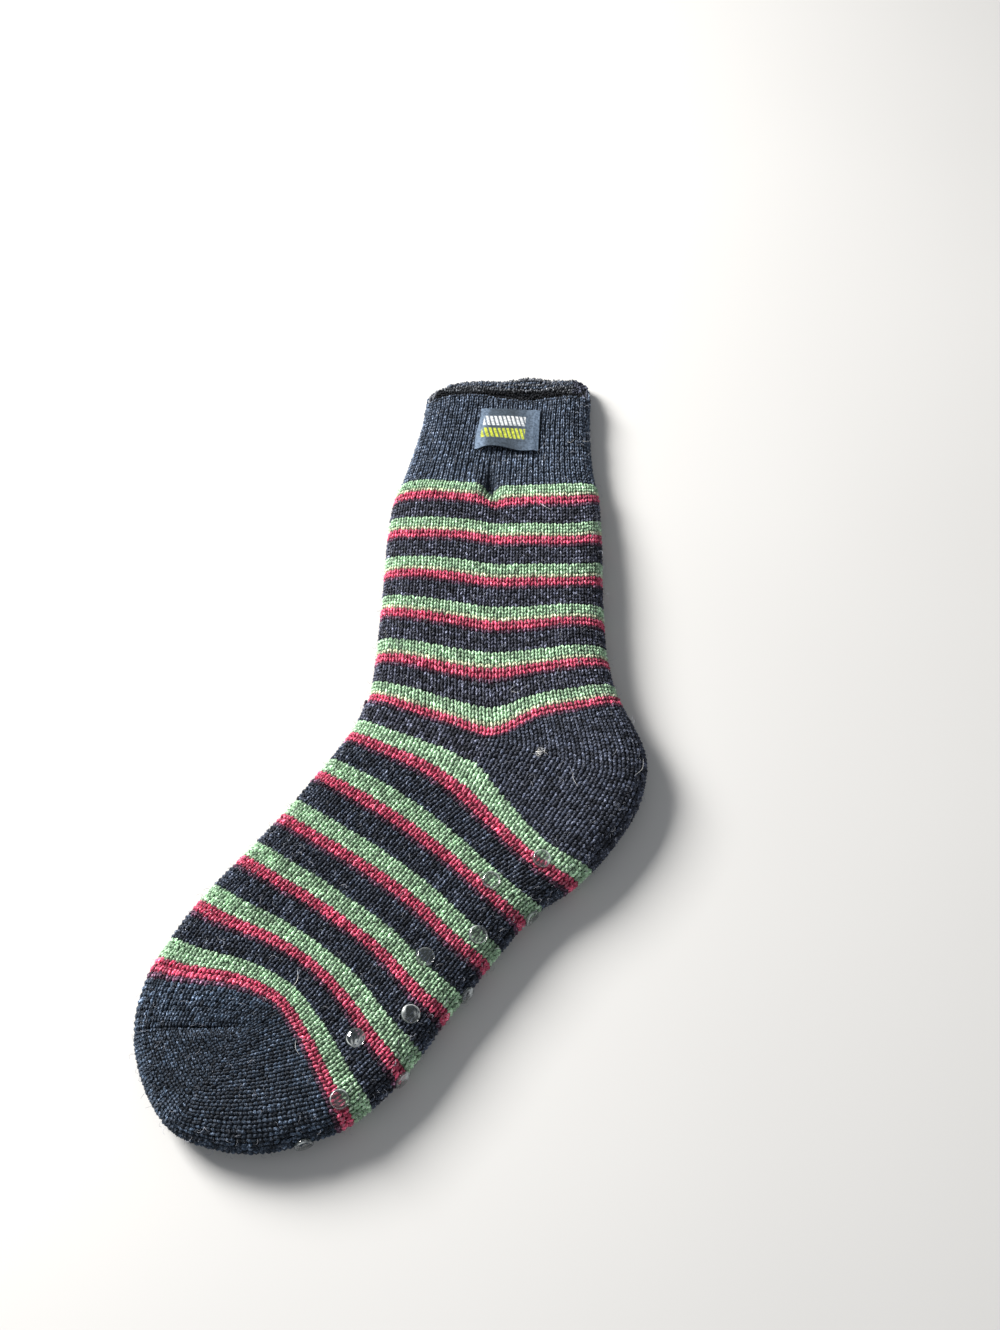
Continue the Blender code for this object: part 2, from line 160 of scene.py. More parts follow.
FOOT_COURSES = (
    (104, "foot", 0.118, -0.579, 0.097, 0.599, (-1.4, -5.7, -4.7, -1.2, 2.4)),
    (116, "foot", 0.209, -0.561, 0.204, 0.542, (-0.1, -2.4, -2.8, -2.2, 0.2)),
    (128, "foot", 0.310, -0.549, 0.300, 0.542, (0.4, -1.7, -2.4, -2.0, 0.8)),
    (140, "foot", 0.410, -0.550, 0.406, 0.548, (0.1, -2.6, -3.4, -3.3, 0.6)),
    (152, "foot", 0.517, -0.549, 0.524, 0.560, (-1.4, -8.1, -10.2, -8.5, -2.4)),
    (164, "foot", 0.638, -0.507, 0.638, 0.519, (-5.0, -17.3, -20.9, -16.5, -6.6)),
)
LOWER_BOW = 0.6
# Where the knit is pinched down towards the toe: place on the pressed sock, reach to the left, to the right and
# along the leg, and the pull, all in mm
PULLS = ((-1.8, 155.0, 1.5, 1.3, 6.0, 5.2), (0.3, 147.0, 3.6, 5.0, 9.0, 3.0))

# Heel pocket: the gore where the wedges meet, from the middle of the side to the heel fold, in mm on the
# pressed sock, and the courses of each wedge
HEEL_GORE = ((0.0, -1.0, 8.0), (0.31, 22.3, 2.1), (0.563, 39.8, -5.1), (0.88, 63.2, -9.1))
HEEL_GORE_END = (72.0, -10.0)
HEEL_GORE_SHARE = 0.25
HEEL_UPPER_COURSES = 3
HEEL_LOWER_COURSES = 9
HEEL_SHORT_COURSES = 19

# Toe pocket: seam across the top, from its front end to its inner end, and the gore below it
SEAM_FRONT = (-149.5, -122.0)
SEAM_INNER = (-99.0, -122.0)
TOE_TIP = (-124.7, -166.0)
TOE_GORE_START = (-97.0, -119.8)
TOE_GORE_SHARE = 0.8
TOE_TOP_COURSES = 10
TOE_SOLE_COURSES = 8
TOE_TURN_COURSES = 2
TOE_SHORT_COURSES = 23
# The short courses of a pocket step back over this share of its wales
SHORT_SHARE = 0.68

FOOT_ALONG = np.array([-math.sin(FOOT_TURN), -math.cos(FOOT_TURN)])
FOOT_ACROSS = np.array([math.cos(FOOT_TURN), -math.sin(FOOT_TURN)])


def smooth(value):
    value = np.clip(value, 0.0, 1.0)
    return value * value * (3.0 - 2.0 * value)


def mix(a, b, share):
    return a + (b - a) * share


def read_across(table, places):
    """Values of a table of pairs at these places."""
    return np.interp(places, *np.array(table).T)


def place_on(part, along, across):
    """Point of the pressed sock, from shares of the leg or the foot."""
    if part == "leg":
        return np.array([across * LEG_WIDTH, along * LEG_LENGTH])
    return FOOT_ALONG * along * FOOT_LENGTH + FOOT_ACROSS * across * FOOT_WIDTH


def curve_through(points, samples):
    """Catmull-Rom curve through the points, with this many steps between each two."""
    points = np.asarray(points)
    padded = np.vstack([2 * points[0] - points[1], points, 2 * points[-1] - points[-2]])
    out = []
    for i in range(1, len(padded) - 2):
        before, start, end, after = padded[i - 1:i + 3]
        for k in range(samples):
            t = k / samples
            out.append(
                0.5 * (2 * start + (end - before) * t
                       + (2 * before - 5 * start + 4 * end - after) * t ** 2
                       + (3 * start - before - 3 * end + after) * t ** 3)
            )
    out.append(padded[-2])
    return np.array(out)


def eased(places, knots, values):
    """Smooth curve through values at the knots, read at the places."""
    knots, values = np.asarray(knots, dtype=float), np.asarray(values, dtype=float)
    places = np.atleast_1d(places)
    slopes = np.gradient(values, knots, axis=0)
    i = np.clip(np.searchsorted(knots, places, side="right") - 1, 0, len(knots) - 2)
    step = knots[i + 1] - knots[i]
    u = (places - knots[i]) / step
    shape = (-1,) + (1,) * (values.ndim - 1)
    step, u = step.reshape(shape), u.reshape(shape)
    return (values[i] * (1 + 2 * u) * (1 - u) ** 2 + values[i + 1] * u * u * (3 - 2 * u)
            + slopes[i] * step * u * (1 - u) ** 2 - slopes[i + 1] * step * u * u * (1 - u))


class Pressed:
    """The sock pressed flat: its fold line, and the rounded fold that carries it over the body."""

    def __init__(self):
        instep = curve_through([place_on(row[0], row[1], row[2]) for row in STATIONS], 2)
        heel = curve_through([place_on(row[0], row[3], row[4]) for row in STATIONS], 2)
        beyond = np.array([0.0, MOUTH_BLEND])
        stations = np.vstack([instep[:1] + beyond, instep, heel[-2::-1], heel[:1] + beyond])
        self.line = curve_through(stations, EDGE_SAMPLES)
        steps = np.diff(self.line, axis=0)
        self.length = np.concatenate([[0.0], np.cumsum(np.linalg.norm(steps, axis=1))])
        forward = np.gradient(self.line, axis=0)
        forward /= np.linalg.norm(forward, axis=1)[:, None]
        self.outward = np.stack([forward[:, 1], -forward[:, 0]], axis=1)
        if np.sum((self.line - self.line.mean(axis=0)) * self.outward) < 0:
            self.outward = -self.outward
        angle = np.linspace(0.0, math.pi / 2, FOLD_SAMPLES)
        power = 2.0 / FOLD_SQUARENESS
        self.reach = 1.0 - np.cos(angle) ** power
        self.rise = np.sin(angle) ** power
        steps = np.hypot(np.diff(self.reach) * FOLD_REACH, np.diff(self.rise) * BODY_HEIGHT / 2)
        self.arc = np.concatenate([[0.0], np.cumsum(steps)])
        self.spare = self.arc[-1] - FOLD_REACH
        share = self.line @ FOOT_ALONG
        behind = self.length > self.length[-1] / 2
        self.sole_runs = self.length[behind][::-1]
        self.sole_along = share[behind][::-1]

    def at(self, run):
        point = np.stack([np.interp(run, self.length, self.line[:, k]) for k in range(2)], axis=-1)
        out = np.stack([np.interp(run, self.length, self.outward[:, k]) for k in range(2)], axis=-1)
        return point, out / np.linalg.norm(out, axis=-1, keepdims=True)

    def spread(self, run):
        point, out = self.at(run)
        return point + out * self.spare

    def locate(self, flat):
        """Run along the fold line, depth inside it, and the nearest point of it with the direction outward."""
        start, step = self.line[:-1], np.diff(self.line, axis=0)
        square, lengths = np.sum(step * step, axis=1), np.diff(self.length)
        runs, depths, edges, outs = [], [], [], []
        for first in range(0, len(flat), POINTS_AT_ONCE):
            part = flat[first:first + POINTS_AT_ONCE]
            offset = part[:, None, :] - start[None, :, :]
            share = np.clip(np.sum(offset * step, axis=2) / square, 0.0, 1.0)
            away = offset - share[:, :, None] * step
            distance = np.sum(away * away, axis=2)
            near = np.argmin(distance, axis=1)
            rows = np.arange(len(part))
            run = self.length[near] + share[rows, near] * lengths[near]
            edge, out = self.at(run)
            gap = away[rows, near]
            sign = np.where(np.sum(gap * out, axis=1) > 0, 1.0, -1.0)
            depth = -sign * np.sqrt(distance[rows, near])
            straight = gap * sign[:, None] / np.maximum(np.abs(depth), 1e-9)[:, None]
            out = mix(out, straight, smooth(np.abs(depth) / NEAR_FOLD)[:, None])
            runs.append(run)
            depths.append(depth)
            edges.append(edge)
            outs.append(out / np.linalg.norm(out, axis=1)[:, None])
        return tuple(np.concatenate(found) for found in (runs, depths, edges, outs))

    def run_of(self, point):
        return float(self.locate(np.array([point]))[0][0])

    def sole_run(self, along):
        heel_tip = np.argmin(self.sole_along)
        return float(np.interp(along, self.sole_along[heel_tip:], self.sole_runs[heel_tip:]))

    def skin(self, run, arc, edge, out, side, inset):
        """Point of the body at an arc round the fold from an edge point, this far inside the outer face."""
        reach, rise = np.interp(arc, self.arc, self.reach), np.interp(arc, self.arc, self.rise)
        depth = inset + (FOLD_REACH - inset) * reach + np.maximum(arc - self.arc[-1], 0.0)
        plan = edge - out * depth[..., None]
        share = (plan[..., 1] / LEG_LENGTH - BODY_HEIGHT_FROM) / (CUFF_HEIGHT_FROM - BODY_HEIGHT_FROM)
        height = BODY_HEIGHT + (CUFF_HEIGHT - BODY_HEIGHT) * smooth(share)
        level = FOLD_LEVEL * height
        top = level + (UPPER_SHARE * height - inset) * rise
        floor = self.rest_level(plan, run, arc) + inset
        below = np.maximum(level - (LOWER_SHARE * height - inset) * rise, np.minimum(floor, level))
        return np.concatenate([plan, np.where(side > 0, top, below)[..., None]], axis=-1)

    def rest_level(self, plan, run, arc):
        lift = MOUTH_RIM_LIFT * smooth((plan[..., 1] / LEG_LENGTH - RIM_LIFT_FROM) / RIM_LIFT_OVER)
        first, last = self.sole_run(DOT_STRIP_FIRST * FOOT_LENGTH), self.sole_run(DOT_STRIP_LAST * FOOT_LENGTH)
        low, high = min(first, last), max(first, last)
        along = smooth((run - low) / DOT_STRIP_BLEND) * smooth((high - run) / DOT_STRIP_BLEND)
        around = smooth(arc / DOT_STRIP_BLEND) * smooth((DOT_STRIP_END - arc) / DOT_STRIP_BLEND)
        return lift + (DOT_HEIGHT + DOT_GAP + DOT_FLOOR_GAP) * along * around


SOCK = Pressed()

# Hollows and swells of the upper side: place and half-size in mm on the pressed sock, turn in degrees, and
# depth in mm, negative for a hollow
RELIEF = (
    (-1.8, 156.0, 3.0, 7.0, 4.0, -4.2),
    (-8.0, 154.0, 3.6, 7.0, 12.0, 1.2),
    (5.5, 153.0, 4.0, 6.0, 0.0, 1.1),
    (-2.0, 165.0, 2.6, 6.0, 12.0, -0.9),
    (1.0, 140.0, 4.5, 16.0, 2.0, -1.1),
    (2.0, 112.0, 8.0, 16.0, 3.0, -0.6),
    (-20.0, 146.0, 14.0, 10.0, 10.0, 0.7),
    (24.0, 144.0, 13.0, 10.0, -10.0, 0.6),
    (10.0, 214.0, 16.0, 7.0, 0.0, -1.6),
    (-22.0, 212.0, 9.0, 8.0, 0.0, 0.5),
    (-30.0, 92.0, 14.0, 26.0, 0.0, 0.5),
    (30.0, 62.0, 12.0, 24.0, 0.0, 0.4),
    (-12.0, 40.0, 22.0, 12.0, -12.0, -0.6),
    (-44.0, 22.0, 16.0, 7.0, -28.0, -0.7),
    (-50.0, -8.0, 14.0, 8.0, -30.0, 0.5),
    (28.0, 14.0, 20.0, 8.0, -18.0, 0.6),
    (-36.0, -58.0, 22.0, 16.0, -40.0, 0.5),
    (-92.0, -96.0, 16.0, 12.0, -35.0, -0.5),
    (-113.0, -121.8, 18.0, 1.7, 2.0, -0.8),
    (-114.0, -118.0, 19.0, 2.4, 2.0, 0.8),
    (-114.0, -126.5, 18.0, 3.2, 2.0, 0.5),
)
# Painted shade on yarn of the upper side where light hardly reaches it, laid out in the same way, with the share of
# its brightness that is lost; where the share is negative it is painted light, which brightens the yarn instead
SHADED = (
    (-2.2, 157.0, 4.0, 7.5, 4.0, 0.85),
    (-7.5, 153.5, 3.5, 4.0, 0.0, 0.30),
    (0.5, 142.0, 1.6, 7.0, 0.0, 0.45),
    (13.5, 213.0, 22.0, 1.8, 0.0, 0.35),
    (-112.0, -121.8, 18.0, 1.3, 2.0, 0.30),
    (-116.0, -108.0, 24.0, 11.0, 0.0, -0.34),
    (-104.0, -148.0, 26.0, 18.0, 30.0, 0.28),
)


def mottle(points):
    """Uneven patches a few millimetres wide, of about unit spread."""
    x, y, z = (2 * math.pi * points[:, k] / MM for k in range(3))
    first = np.sin(x / 3.1 + 1.4 * np.sin(y / 4.3)) * np.sin(y / 2.6 + 1.7 * np.sin(x / 5.1))
    second = np.sin((x + y) / 4.9 + 1.2 * np.sin((x - z) / 3.7)) * np.sin((x - y) / 3.3 + z / 6.0)
    return 1.4 * (first + second)


def swells(flat, table):
    """Sum of the soft swells of a table over points of the pressed sock."""
    total = np.zeros(flat.shape[:-1])
    for x, y, wide, long, turn, depth in table:
        c, s = math.cos(math.radians(turn)), math.sin(math.radians(turn))
        dx, dy = flat[..., 0] / MM - x, flat[..., 1] / MM - y
        across, along = (c * dx + s * dy) / wide, (-s * dx + c * dy) / long
        total += depth * np.exp(-(across * across + along * along))
    return total


def relief(flat):
    return swells(flat, RELIEF) * MM


def courses(table):
    """Course numbers, runs of both ends along the fold line, and bows, from a table of courses."""
    numbers = [row[0] for row in table]
    instep = [SOCK.run_of(place_on(row[1], row[2], row[3])) for row in table]
    heel = [SOCK.run_of(place_on(row[1], row[4], row[5])) for row in table]
    bows = [[0.0] + [bow * MM for bow in row[6]] + [0.0] for row in table]
    return numbers, instep, heel, bows


LEG_TABLE, FOOT_TABLE = courses(LEG_COURSES), courses(FOOT_COURSES)


def tube(table, numbers, across, side):
    """Points of the pressed sock: courses by number, wales by their share across the side."""
    knots, instep, heel, bows = table
    numbers, across = np.atleast_1d(numbers), np.atleast_1d(across)
    start = SOCK.spread(eased(numbers, knots, instep))
    end = SOCK.spread(eased(numbers, knots, heel))
    bow = eased(across, BOW_PLACES, eased(numbers, knots, bows).T).T
    bow = bow if side > 0 else bow * LOWER_BOW
    chord = end - start
    ahead = np.stack([chord[:, 1], -chord[:, 0]], axis=1) / np.linalg.norm(chord, axis=1)[:, None]
    flat = start[:, None, :] + across[None, :, None] * chord[:, None, :] + ahead[:, None, :] * bow[:, :, None]
    if side < 0:
        fade = smooth(1.0 - (LEG_LENGTH - flat[..., 1]) / MOUTH_BLEND)
        flat[..., 1] += read_across(OVERHANG, across)[None, :] * MM * fade
    elif table is LEG_TABLE:
        x, y = flat[..., 0] / MM, flat[..., 1] / MM
        pulled = sum(pull * np.exp(-np.abs(x - at) / np.where(x < at, left, right) - ((y - level) / along) ** 2)
                     for at, level, left, right, along, pull in PULLS)
        flat[..., 1] -= pulled * MM
    return flat


def course_end(table, number, heel):
    """Run of a course's end along the fold line, on the heel side or the instep side."""
    return eased(number, table[0], table[2] if heel else table[1])[0]


def off_chord(start, end, share):
    """How far the fold line stands off the straight line between two runs."""
    return SOCK.spread(mix(start, end, share)) - mix(SOCK.spread(start), SOCK.spread(end), share)


def two_wedges(places, gore_share, deep, borders, runs):
    """Two wedges that meet along a gore: three rows of points as borders, and the runs where they reach the fold."""
    rows = []
    for place in places:
        second = int(place > gore_share)
        s = (place - gore_share) / (1 - gore_share) if second else place / gore_share
        edge = off_chord(runs[second], runs[second + 1], s)
        rows.append(mix(borders[second], borders[second + 1], s) + deep[:, None] ** 3 * edge)
    return np.array(rows)


def beside_pocket(pocket, places, across, side, first, last, runs):
    """Complete courses of a front half, which keep to the fold on one side and to a pocket on the other."""
    border = pocket(places, [0.5], side)[:, 0]
    start, end = pocket([0.0, 1.0], [0.5], side)[:, 0]
    inner, outer = (across / 0.5) ** 2, (1 - across / 0.5) ** 3
    rows = []
    for place, point in zip(places, border):
        shift = point - mix(start, end, place)
        rows.append(mix(first, last, place) + inner[:, None] * shift + outer[:, None] * off_chord(*runs, place))
    return np.array(rows)


def heel_pocket(places, across, side):
    """The heel half between leg and foot: an upper and a lower wedge that meet along the gore."""
    deep = (np.atleast_1d(across) - 0.5) * 2
    above, below = tube(LEG_TABLE, LEG_END, across, side)[0], tube(FOOT_TABLE, FOOT_START, across, side)[0]
    end_run = SOCK.run_of(np.array(HEEL_GORE_END) * MM)
    knots = [row[0] for row in HEEL_GORE] + [1.0]
    gore = eased(deep, knots, np.array([[row[1] * MM, row[2] * MM] for row in HEEL_GORE] + [SOCK.spread(end_run)]))
    runs = (course_end(LEG_TABLE, LEG_END, True), end_run, course_end(FOOT_TABLE, FOOT_START, True))
    return two_wedges(places, HEEL_GORE_SHARE, deep, (above, gore, below), runs)


def instep_bend(places, across, side):
    """The instep half between leg and foot, where courses simply run on."""
    above, below = tube(LEG_TABLE, LEG_END, across, side)[0], tube(FOOT_TABLE, FOOT_START, across, side)[0]
    runs = course_end(LEG_TABLE, LEG_END, False), course_end(FOOT_TABLE, FOOT_START, False)
    return beside_pocket(heel_pocket, places, across, side, above, below, runs)


def toe_sole(places, across, side):
    """The sole half of the toe: round the tip and up to the seam, with a gore along its corner."""
    deep = (np.atleast_1d(across) - 0.5) * 2
    above = tube(FOOT_TABLE, FOOT_END, across, side)[0]
    tip_run, front_run = (SOCK.run_of(np.array(point) * MM) for point in (TOE_TIP, SEAM_FRONT))
    gore = mix(np.array(TOE_GORE_START) * MM, SOCK.spread(tip_run), deep[:, None])
    seam = mix(np.array(SEAM_INNER) * MM, SOCK.spread(front_run), deep[:, None])
    runs = course_end(FOOT_TABLE, FOOT_END, True), tip_run, front_run
    return two_wedges(places, TOE_GORE_SHARE, deep, (above, gore, seam), runs)


def toe_top(places, across, side):
    """The upper half of the toe, from the last stripe to the seam."""
    above = tube(FOOT_TABLE, FOOT_END, across, side)[0]
    front_run = SOCK.run_of(np.array(SEAM_FRONT) * MM)
    seam = mix(SOCK.spread(front_run), np.array(SEAM_INNER) * MM, (across / 0.5)[:, None])
    runs = course_end(FOOT_TABLE, FOOT_END, False), front_run
    return beside_pocket(toe_sole, places, across, side, above, seam, runs)


def leg_tube(places, across, side):
    return tube(LEG_TABLE, places, across, side)


def foot_tube(places, across, side):
    return tube(FOOT_TABLE, places, across, side)


class Net:
    """A stretch of one side of the body, as a grid of places along and wales across."""

    def __init__(self, layout, places, across, side, cuff=False):
        self.places, self.across, self.side = np.asarray(places, float), np.asarray(across, float), side
        self.flat = layout(self.places, self.across, side)
        shape = self.flat.shape[:2]
        run, depth, edge, out = SOCK.locate(self.flat.reshape(-1, 2))
        self.run = run.reshape(shape)
        self.edge, self.outward = edge.reshape(*shape, 2), out.reshape(*shape, 2)
        self.arc = np.maximum(depth + SOCK.spare, 0.0).reshape(shape)
        step = np.where(self.places < CUFF_COURSES, CUFF_STEP, 0.0) if cuff else np.zeros(len(self.places))
        self.step = step[:, None] * np.ones(shape)
        self.rise = relief(self.flat) * smooth(self.arc / SOCK.arc[-1]) if side > 0 else np.zeros(shape)
        self.face = self.lifted(0.0)
        ahead, sideways = np.gradient(self.face, axis=0), np.gradient(self.face, axis=1)
        out = np.cross(ahead, sideways) * side
        self.out = out / np.maximum(np.linalg.norm(out, axis=2, keepdims=True), 1e-12)

    def lifted(self, lift, step=True):
        """Points this far above the outer face, or inside it where lift is negative."""
        inset = (self.step if step else 0.0) - lift
        points = SOCK.skin(self.run, self.arc, self.edge, self.outward, self.side, inset)
        points[..., 2] += self.rise
        points[..., :2] += CROSSING
        return points

    def between(self, grid, place, across):
        """Values of a grid of this net between its points."""
        i = np.interp(place, self.places, np.arange(len(self.places)))
        j = np.interp(across, self.across, np.arange(len(self.across)))
        i0 = np.clip(np.floor(i).astype(int), 0, len(self.places) - 2)
        j0 = np.clip(np.floor(j).astype(int), 0, len(self.across) - 2)
        u, v = (i - i0)[:, None], (j - j0)[:, None]
        near = mix(grid[i0, j0], grid[i0, j0 + 1], v)
        far = mix(grid[i0 + 1, j0], grid[i0 + 1, j0 + 1], v)
        return mix(near, far, u)

    def read(self, place, across):
        """Face point and outward direction between the grid's points."""
        return [self.between(grid, place, across) for grid in (self.face, self.out)]


def steps(start, end, count):
    return np.linspace(start, end, count + 1)


WHOLE, FRONT, BACK = steps(0.0, 1.0, 76), steps(0.0, 0.5, 38), steps(0.5, 1.0, 38)
LEG_PLACES = np.concatenate([steps(0, CUFF_COURSES - 0.2, 52), steps(CUFF_COURSES + 0.2, LEG_END, 128)])
FOOT_PLACES = steps(FOOT_START, FOOT_END, 118)
BEND_PLACES = np.concatenate([steps(0, HEEL_GORE_SHARE, 40)[:-1], steps(HEEL_GORE_SHARE, 1.0, 52)])
TOE_PLACES = np.concatenate([steps(0, TOE_GORE_SHARE, 52)[:-1], steps(TOE_GORE_SHARE, 1.0, 44)])

NETS = {}
for side in (1, -1):
    NETS["leg", side] = Net(leg_tube, LEG_PLACES, WHOLE, side, cuff=True)
    NETS["instep", side] = Net(instep_bend, BEND_PLACES, FRONT, side)
    NETS["heel", side] = Net(heel_pocket, BEND_PLACES, BACK, side)
    NETS["foot", side] = Net(foot_tube, FOOT_PLACES, WHOLE, side)
    NETS["toe_top", side] = Net(toe_top, TOE_PLACES, FRONT, side)
    NETS["toe_sole", side] = Net(toe_sole, TOE_PLACES, BACK, side)


def new_mesh(name, points, faces):
    mesh = bpy.data.meshes.new(name)
    mesh.from_pydata([tuple(p) for p in points], [], [tuple(f) for f in faces])
    return mesh


def carrier_mesh(name, points, vectors, values):
    """Loose points with the attributes that a tree reads from them."""
    mesh = new_mesh(name, points, [])
    for key, value in vectors.items():
        mesh.attributes.new(key, "FLOAT_VECTOR", "POINT").data.foreach_set("vector", value.ravel())
    for key, value in values.items():
        mesh.attributes.new(key, "FLOAT", "POINT").data.foreach_set("value", value)
    return mesh


def faces_outward(mesh):
    edit = bmesh.new()
    edit.from_mesh(mesh)
    bmesh.ops.recalc_face_normals(edit, faces=edit.faces)
    edit.to_mesh(mesh)
    edit.free()


def new_piece(name, mesh, *materials):
    piece = bpy.data.objects.new(name, mesh)
    bpy.context.scene.collection.objects.link(piece)
    for material in materials:
        mesh.materials.append(material)
    return piece


# Shader groups and materials


def link(tree, output, target):
    tree.links.new(output, target)


def node(tree, kind, **settings):
    made = tree.nodes.new(kind)
    for name, value in settings.items():
        setattr(made, name, value)
    return made


def group(name, inputs, outputs, kind="ShaderNodeTree"):
    """A new tree with its named inputs and outputs."""
    tree = bpy.data.node_groups.new(name, kind)
    for label, kind, value in inputs:
        socket = tree.interface.new_socket(label, in_out="INPUT", socket_type=kind)
        if value is not None:
            socket.default_value = value
    for label, kind in outputs:
        tree.interface.new_socket(label, in_out="OUTPUT", socket_type=kind)
    return tree, node(tree, "NodeGroupInput"), node(tree, "NodeGroupOutput")


def maths(tree, operation, first, second=None):
    made = node(tree, "ShaderNodeMath", operation=operation)
    for index, value in enumerate((first, second)):
        if value is None:
            continue
        if isinstance(value, (int, float)):
            made.inputs[index].default_value = value
        else:
            link(tree, value, made.inputs[index])
    return made.outputs[0]


def axes_of(tree, vector):
    made = node(tree, "ShaderNodeSeparateXYZ")
    link(tree, vector, made.inputs[0])
    return made.outputs


def noise(tree, scale, detail=2.0, stretch=None):
    """Noise over the object, with its scale in cells per metre."""
    place = node(tree, "ShaderNodeTexCoord").outputs["Object"]
    if stretch is not None:
        mapping = node(tree, "ShaderNodeMapping")
        mapping.inputs["Scale"].default_value = stretch
        link(tree, place, mapping.inputs["Vector"])
        place = mapping.outputs["Vector"]
    made = node(tree, "ShaderNodeTexNoise")
    made.inputs["Scale"].default_value = scale
    made.inputs["Detail"].default_value = detail
    link(tree, place, made.inputs["Vector"])
    return made.outputs["Fac"]


def ramp(tree, value, stops, interpolation="LINEAR"):
    """Colours by value. A plain number among the stops stands for a grey."""
    stops = [(place, colour if isinstance(colour, tuple) else (colour,) * 3) for place, colour in stops]
    made = node(tree, "ShaderNodeValToRGB")
    made.color_ramp.interpolation = interpolation
    elements = made.color_ramp.elements
    while len(elements) > 1:
        elements.remove(elements[-1])
    elements[0].position, elements[0].color = stops[0][0], (*stops[0][1], 1.0)
    for position, colour in stops[1:]:
        element = elements.new(position)
        element.color = (*colour, 1.0)
    link(tree, value, made.inputs["Fac"])
    return made.outputs["Color"]


def blended(tree, kind, factor, first, second):
    made = node(tree, "ShaderNodeMix", data_type="RGBA", blend_type=kind)
    for socket, value in ((made.inputs["Factor"], factor), (made.inputs[6], first), (made.inputs[7], second)):
        if isinstance(value, (int, float)):
            socket.default_value = value
        elif isinstance(value, tuple):
            socket.default_value = (*value, 1.0)
        else:
            link(tree, value, socket)
    return made.outputs[2]


def srgb(red, green, blue):
    """Linear colour from the 0 to 255 values of a screen colour."""
    return tuple(
        value / 255 / 12.92 if value / 255 <= 0.04045 else ((value / 255 + 0.055) / 1.055) ** 2.4
        for value in (red, green, blue)
    )


def melange_group():
    """Yarn colour broken up by paler and darker fibres, and the fuzz's height."""
    tree, inward, outward = group(
        "Melange",
        (("Yarn", "NodeSocketColor", (0.05, 0.05, 0.06, 1)), ("Pale fibre", "NodeSocketColor", (0.3, 0.3, 0.3, 1)),
         ("Pale amount", "NodeSocketFloat", 0.3), ("Dark amount", "NodeSocketFloat", 0.4),
         ("Tone", "NodeSocketFloat", 1.0)),
        (("Color", "NodeSocketColor"), ("Height", "NodeSocketFloat")),
    )
    fine = noise(tree, 1500.0, 3.0)
    patch = noise(tree, 950.0, 2.0)
    pale = ramp(tree, fine, ((0.52, 0), (0.62, 1)))
    pale = maths(tree, "MULTIPLY", pale, inward.outputs["Pale amount"])
    colour = blended(tree, "MIX", pale, inward.outputs["Yarn"], inward.outputs["Pale fibre"])
    dark = ramp(tree, patch, ((0.36, 1), (0.58, 0)))
    dark = maths(tree, "MULTIPLY", dark, inward.outputs["Dark amount"])
    colour = blended(tree, "MULTIPLY", dark, colour, (0.25, 0.25, 0.28))
    made = node(tree, "ShaderNodeHueSaturation")
    link(tree, inward.outputs["Tone"], made.inputs["Value"])
    link(tree, colour, made.inputs["Color"])
    link(tree, made.outputs["Color"], outward.inputs["Color"])
    height = maths(tree, "ADD", fine, maths(tree, "MULTIPLY", patch, 0.7))
    link(tree, height, outward.inputs["Height"])
    return tree


MELANGE = melange_group()

# Yarns: name, colour, colour of its paler fibres, and how much its stitches differ in tone
YARNS = (
    ("body", srgb(59, 62, 76), srgb(160, 164, 184), 0.62),
    ("plum", srgb(82, 54, 72), srgb(178, 140, 166), 0.55),
    ("green", srgb(170, 208, 170), srgb(236, 252, 234), 0.30),
    ("pale_green", srgb(206, 214, 180), srgb(250, 248, 228), 0.30),
    ("red", srgb(213, 82, 114), srgb(250, 178, 198), 0.34),
    ("cuff", srgb(78, 91, 110), srgb(182, 194, 214), 0.44),
    ("heel", srgb(52, 58, 72), srgb(148, 154, 174), 0.46),
    ("toe", srgb(44, 57, 72), srgb(136, 150, 172), 0.56),
    ("rim", srgb(118, 122, 130), srgb(212, 216, 222), 0.50),
    # shade: near-black yarn standing for painted shade inside the mouth and along the near lip
    ("shade", srgb(6, 9, 16), srgb(24, 32, 44), 0.30),
    # foot: the body's black made darker, painted shade over the foot
    ("foot", srgb(46, 54, 68), srgb(146, 154, 172), 0.56),
    ("lip", srgb(82, 86, 92), srgb(184, 188, 194), 0.50),
)
TONE_SPREAD = np.array([row[3] for row in YARNS])
YARN_CODE = {row[0]: index for index, row in enumerate(YARNS)}


def principled(name, roughness, specular=0.5):
    material = bpy.data.materials.new(name)
    material.use_nodes = True
    tree = material.node_tree
    shader = tree.nodes["Principled BSDF"]
    shader.inputs["Roughness"].default_value = roughness
    shader.inputs["Specular IOR Level"].default_value = specular
    return material, tree, shader


def drifting(name, roughness, cells, detail, stops):
    """A matt material whose colour drifts between tones."""
    material, tree, shader = principled(name, roughness)
    link(tree, ramp(tree, noise(tree, cells, detail), stops), shader.inputs["Base Color"])
    return material


def attribute(tree, name):
    return node(tree, "ShaderNodeAttribute", attribute_name=name, attribute_type="GEOMETRY").outputs


def bump(tree, shader, height, strength, distance):
    made = node(tree, "ShaderNodeBump")
    made.inputs["Strength"].default_value = strength
    made.inputs["Distance"].default_value = distance
    link(tree, height, made.inputs["Height"])
    link(tree, made.outputs["Normal"], shader.inputs["Normal"])


def sheen(shader, weight, roughness, tint):
    shader.inputs["Sheen Weight"].default_value = weight
    shader.inputs["Sheen Roughness"].default_value = roughness
    shader.inputs["Sheen Tint"].default_value = (*tint, 1.0)


